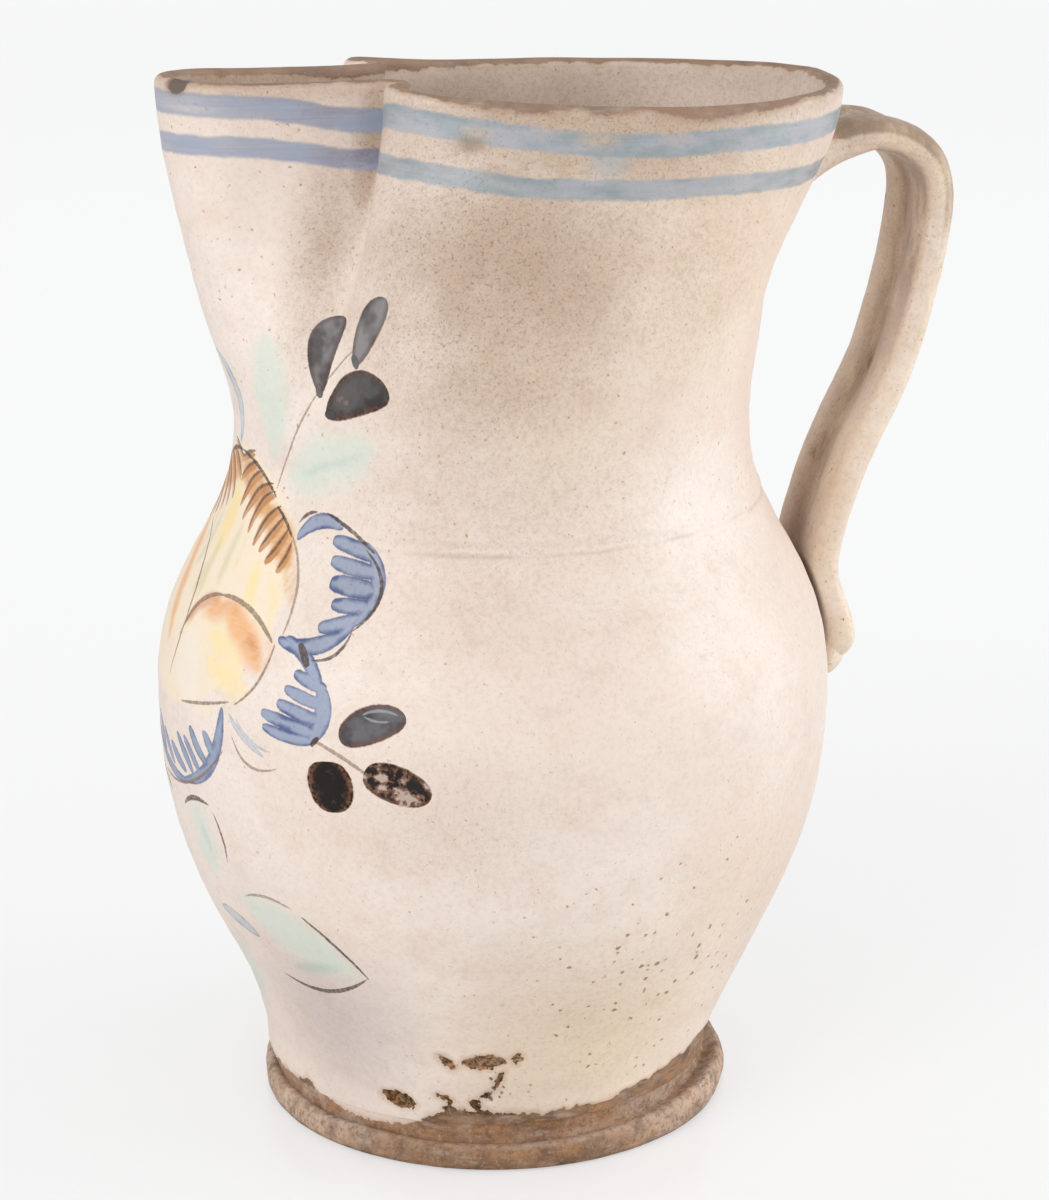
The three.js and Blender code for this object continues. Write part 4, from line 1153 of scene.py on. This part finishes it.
STRAP_INPUTS = {
    "Half Width": 0.5 * STRAP_WIDTH * MM,
    "Half Thickness": 0.5 * STRAP_THICKNESS * MM,
    "Groove Depth": 0.0024,
    "Groove Width": 0.0065,
    "Hand Wobble": 0.0009,
}
given, out = node_group(
    "pulled_strap",
    [("Geometry", "Geometry"), *[(label, "Float") for label in STRAP_INPUTS]],
    [("Geometry", "Geometry")],
    "GeometryNodeTree",
)
section = add("GeometryNodeCurvePrimitiveCircle", {"Resolution": 72, "Radius": 1.0}).outputs[0]
spot = add("SeparateXYZ", {0: add("GeometryNodeInputPosition", {}).outputs[0]})
across = times(spot.outputs[0], given["Half Width"])
face = times(calc("POWER", calc("ABSOLUTE", spot.outputs[1]), 0.6), given["Half Thickness"])
off_groove = calc("DIVIDE", across, given["Groove Width"])
groove = calc("EXPONENT", times(times(off_groove, off_groove), -1.0))
face = calc("SUBTRACT", face, times(groove, given["Groove Depth"]))
shaped = add("CombineXYZ", {0: across, 1: times(face, calc("SIGN", spot.outputs[1]))})
inner_crease = times(groove, calc("GREATER_THAN", spot.outputs[1], 0.0))
faces = {
    "crease": inner_crease,
    "edge": calc("ABSOLUTE", spot.outputs[0]),
    "outer_face": calc("LESS_THAN", spot.outputs[1], 0.0),
}
for label, value in faces.items():
    marked = {"Geometry": section, "Name": label, "Value": value}
    section = add("GeometryNodeStoreNamedAttribute", marked, data_type="FLOAT", domain="POINT").outputs[0]
section = add("GeometryNodeSetPosition", {"Geometry": section, "Position": shaped.outputs[0]}).outputs[0]
share = add("GeometryNodeSplineParameter", {}).outputs["Factor"]
into_end = add("MapRange", {0: share, 1: 0.95, 2: 1.0, 3: 0.0, 4: 0.97}).outputs[0]
end_off = calc("SQRT", calc("SUBTRACT", 1.0, times(into_end, into_end)))
sweep_parts = {"Curve": given["Geometry"], "Profile Curve": section, "Scale": end_off, "Fill Caps": True}
swept = add("GeometryNodeCurveToMesh", sweep_parts).outputs[0]
lumps = add("TexNoise", {"Scale": 85.0, "Detail": 2.0, "Roughness": 0.5}).outputs[0]
lumps = times(calc("SUBTRACT", lumps, 0.5), given["Hand Wobble"])
facing = add("GeometryNodeInputNormal", {}).outputs[0]
outward = add("VectorMath", {0: facing, "Scale": lumps}, operation="SCALE").outputs[0]
swept = add("GeometryNodeSetPosition", {"Geometry": swept, "Offset": outward}).outputs[0]
swept = add("GeometryNodeSetShadeSmooth", {"Geometry": swept}).outputs[0]
swept = add("GeometryNodeRealizeInstances", {"Geometry": swept}).outputs[0]
swept = add("GeometryNodeSetMaterial", {"Geometry": swept, "Material": handle_glaze}).outputs[0]
tree.links.new(swept, out["Geometry"])
modifier = strap_maker.modifiers.new("pull", "NODES")
modifier.node_group = tree
for socket in tree.interface.items_tree:
    if socket.in_out == "INPUT" and socket.name in STRAP_INPUTS:
        modifier[socket.identifier] = STRAP_INPUTS[socket.name]
evaluated = strap_maker.evaluated_get(bpy.context.evaluated_depsgraph_get())
strap_mesh = bpy.data.meshes.new_from_object(evaluated)
bpy.data.objects.remove(strap_maker)

# Root end: bedded in the neck's wall and stopped at the middle of it. The zone is inside the first
# and above the second of these, in metres.
ROOT_ZONE = (0.086, 0.205)
wall_run, wall_rise = np.meshgrid(np.linspace(0, 40, 81), np.linspace(ROOT_ZONE[1] * 1000, RIM_HEIGHT, 74))
half_wall = np.full(wall_run.size, RIM_WALL / 2)
wall_middle = neck_point(BACK_AROUND - wall_run.ravel(), wall_rise.ravel(), half_wall)
knots = np.empty((len(strap_mesh.vertices), 3), np.float32)
strap_mesh.vertices.foreach_get("co", knots.reshape(-1))
for knot in np.flatnonzero((knots[:, 0] < ROOT_ZONE[0]) & (knots[:, 2] > ROOT_ZONE[1])):
    x, y, z = knots[knot] * 1000
    nearest = np.argmin((np.abs(wall_middle[:, 1]) - abs(y)) ** 2 + (wall_middle[:, 2] - z) ** 2)
    knots[knot, 0] = max(x, wall_middle[nearest, 0]) * MM
strap_mesh.vertices.foreach_set("co", knots.reshape(-1))
strap_piece = placed("strap_handle", strap_mesh)
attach(strap_piece, "root")
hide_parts("handle_strap")

# Upper luting.
# Soft clay smeared with a thumb from the strap's root out on to the neck, so that the strap
# grows out of the wall in a hollow curve, with a longer web below it.
LUTING_COLUMNS = 72
LUTING_ROWS = 16
WEB_BELOW = 15.0
WEB_ABOVE = 8.0
WEB_ASIDE = 19.0
turn = np.linspace(0, 2 * math.pi, LUTING_COLUMNS, endpoint=False)
across = np.cos(turn)
upright = np.sin(turn)
groove_dip = np.exp(-((across * STRAP_INPUTS["Half Width"] / STRAP_INPUTS["Groove Width"]) ** 2))
groove_dip *= STRAP_INPUTS["Groove Depth"] * 1000
thick = np.sign(upright) * (STRAP_THICKNESS / 2 * np.abs(upright) ** 0.6 - groove_dip)


def strap_skin(distance, grow):
    """Points on the strap's skin at a distance along its line from the root, in the order of the turn."""
    steps = np.linalg.norm(np.diff(strap_line, axis=0), axis=1)
    reach = np.concatenate([[0], np.cumsum(steps)])
    x, z = (np.interp(distance, reach, axis) for axis in strap_line.T)
    x2, z2 = (np.interp(distance + 1, reach, axis) for axis in strap_line.T)
    lean = np.array([x2 - x, z2 - z])
    lean /= np.linalg.norm(lean)
    rise = thick + grow * upright
    return np.stack([x - lean[1] * rise, across * (STRAP_WIDTH / 2 + grow), z + lean[0] * rise], -1)


root_height = RIM_HEIGHT - HANDLE_DROP
web = np.where(upright < 0, WEB_BELOW, WEB_ABOVE)
spread = BACK_AROUND - np.abs(across) * WEB_ASIDE
wall_spots = neck_point(spread, root_height + upright * web, np.full(LUTING_COLUMNS, 0.25))
wall_spots[:, 1] *= np.where(np.sign(wall_spots[:, 1]) == np.sign(across), 1, -1)
junction = strap_skin(RIM_WALL + 0.6, 0.1)
start = strap_skin(RIM_WALL + 15.0, -0.5)
inner = strap_skin(RIM_WALL - 1.5, -2.0)
share = np.linspace(0, 1, LUTING_ROWS)[:, None, None]
shown = (1 - share) ** 2 * start + 2 * share * (1 - share) * junction + share**2 * wall_spots
shown += 0.35 * rough(shown, 6, 17)[..., None] * np.sin(share * math.pi) * np.array([0.7, 0, 0.7])
ring = np.concatenate([shown, inner[None]])
low = np.arange(ring[..., 0].size).reshape(ring.shape[:2])
high = np.roll(low, -1, 0)
quads = np.stack([low, high, np.roll(high, -1, 1), np.roll(low, -1, 1)], -1).reshape(-1, 4)
upper_piece = piece_from("upper_luting", ring.reshape(-1, 3), quads.tolist(), handle_glaze)
field = upper_piece.data.attributes.new("outer_face", "FLOAT", "POINT")
field.data.foreach_set("value", np.tile(smooth(upright), len(ring)).astype(np.float32))
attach(upper_piece, "root")
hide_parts("upper_handle_luting")

# Lower luting.
# The end of the strap, folded under itself and thumbed flat against the belly in a lump.
LUMP = (6.2, 12.6, 7.4)
LUMP_COLUMNS = 64
LUMP_ROWS = 34
lump_turn = np.linspace(-math.pi, math.pi, LUMP_COLUMNS, endpoint=False)
lump_rise = np.linspace(-math.pi / 2, math.pi / 2, LUMP_ROWS + 2)[1:-1, None]
lump_grid = np.stack([
    LUMP[0] * np.cos(lump_rise) * np.cos(lump_turn),
    LUMP[1] * np.cos(lump_rise) * np.sin(lump_turn),
    LUMP[2] * np.sin(lump_rise) + 0 * lump_turn,
], -1)
lump_grid *= (1 + 0.10 * rough(lump_grid, 7, 18, 2))[..., None]
lump_grid += np.array([wall_radius(TAIL_HEIGHT) + 1.8, 0, TAIL_HEIGHT + 3.0])
lump_cover = np.full(lump_grid.shape[:2], 3.0)
lower_piece = skin("lower_luting", lump_grid, lump_turn * 5, lump_grid[..., 2], lump_cover, handle_glaze)
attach(lower_piece, "root")
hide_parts("lower_handle_luting")

# Floor.
# A plain pale table top that fades into a white studio and holds a soft shadow and a faint reflection.
floor_mesh = bpy.data.meshes.new("floor")
floor_mesh.from_pydata([(-6, -6, 0), (6, -6, 0), (6, 6, 0), (-6, 6, 0)], [], [(0, 1, 2, 3)])
floor_white = bpy.data.materials.new("floor_white")
floor_white.use_nodes = True
tree = floor_white.node_tree
table = tree.nodes["Principled BSDF"]
place = add("TexCoord", {}).outputs["Object"]
mottle = grain(place, 3.0, 2.0)
seen = add("LightPath", {}).outputs["Is Camera Ray"]
lit = blend(mottle, (0.80, 0.80, 0.80, 1), (0.82, 0.82, 0.82, 1))
tree.links.new(blend(seen, lit, (0.36, 0.36, 0.36, 1)), table.inputs["Base Color"])
table.inputs["Roughness"].default_value = 0.22
table.inputs["Specular IOR Level"].default_value = 0.25
far_off = ramp(magnitude(place), 0.3, 2.5, 0.545, 0.47)
tree.links.new(times(far_off, seen), table.inputs["Emission Strength"])
table.inputs["Emission Color"].default_value = (0.99, 0.995, 1, 1)
floor_mesh.materials.append(floor_white)
floor = placed("floor", floor_mesh)

# Studio light.
# A white tent all round, with one broad soft box high on the left and a weaker one on the right.
world = bpy.data.worlds.new("white_tent")
bpy.context.scene.world = world
world.use_nodes = True
tree = world.node_tree
tent = tree.nodes["Background"]
seen = add("LightPath", {}).outputs["Is Camera Ray"]
tree.links.new(add("Mix", {0: seen, 2: 0.74, 3: 0.94}).outputs[0], tent.inputs["Strength"])
tent.inputs["Color"].default_value = (1, 1, 1, 1)


def soft_box(name, place, aim, size, power):
    lamp = bpy.data.lights.new(name, "AREA")
    lamp.shape = "RECTANGLE"
    lamp.size, lamp.size_y = size
    lamp.energy = power
    holder = placed(name, lamp)
    holder.location = place
    holder.rotation_euler = (Vector(aim) - Vector(place)).to_track_quat("-Z", "Y").to_euler()


soft_box("left_box", (-1.05, -0.8, 0.8), (0, 0, 0.12), (0.9, 0.9), 8.4)
soft_box("right_box", (1.1, -0.3, 0.30), (0, 0, 0.10), (0.8, 0.8), 6.6)

# Camera.
# It stands a little to the left of the jug's side and looks down on it by sixteen degrees.
lens = bpy.data.cameras.new("camera")
lens.sensor_fit = "VERTICAL"
lens.sensor_height = 36.0
lens.lens = 90.0
lens.clip_start = 0.05
camera = placed("camera", lens)
camera.location = (-0.16678, -0.65101, 0.318)
camera.rotation_euler = (math.radians(90 - 16.47), 0, math.radians(-15))
bpy.context.scene.camera = camera
bpy.context.scene.view_settings.view_transform = "Standard"
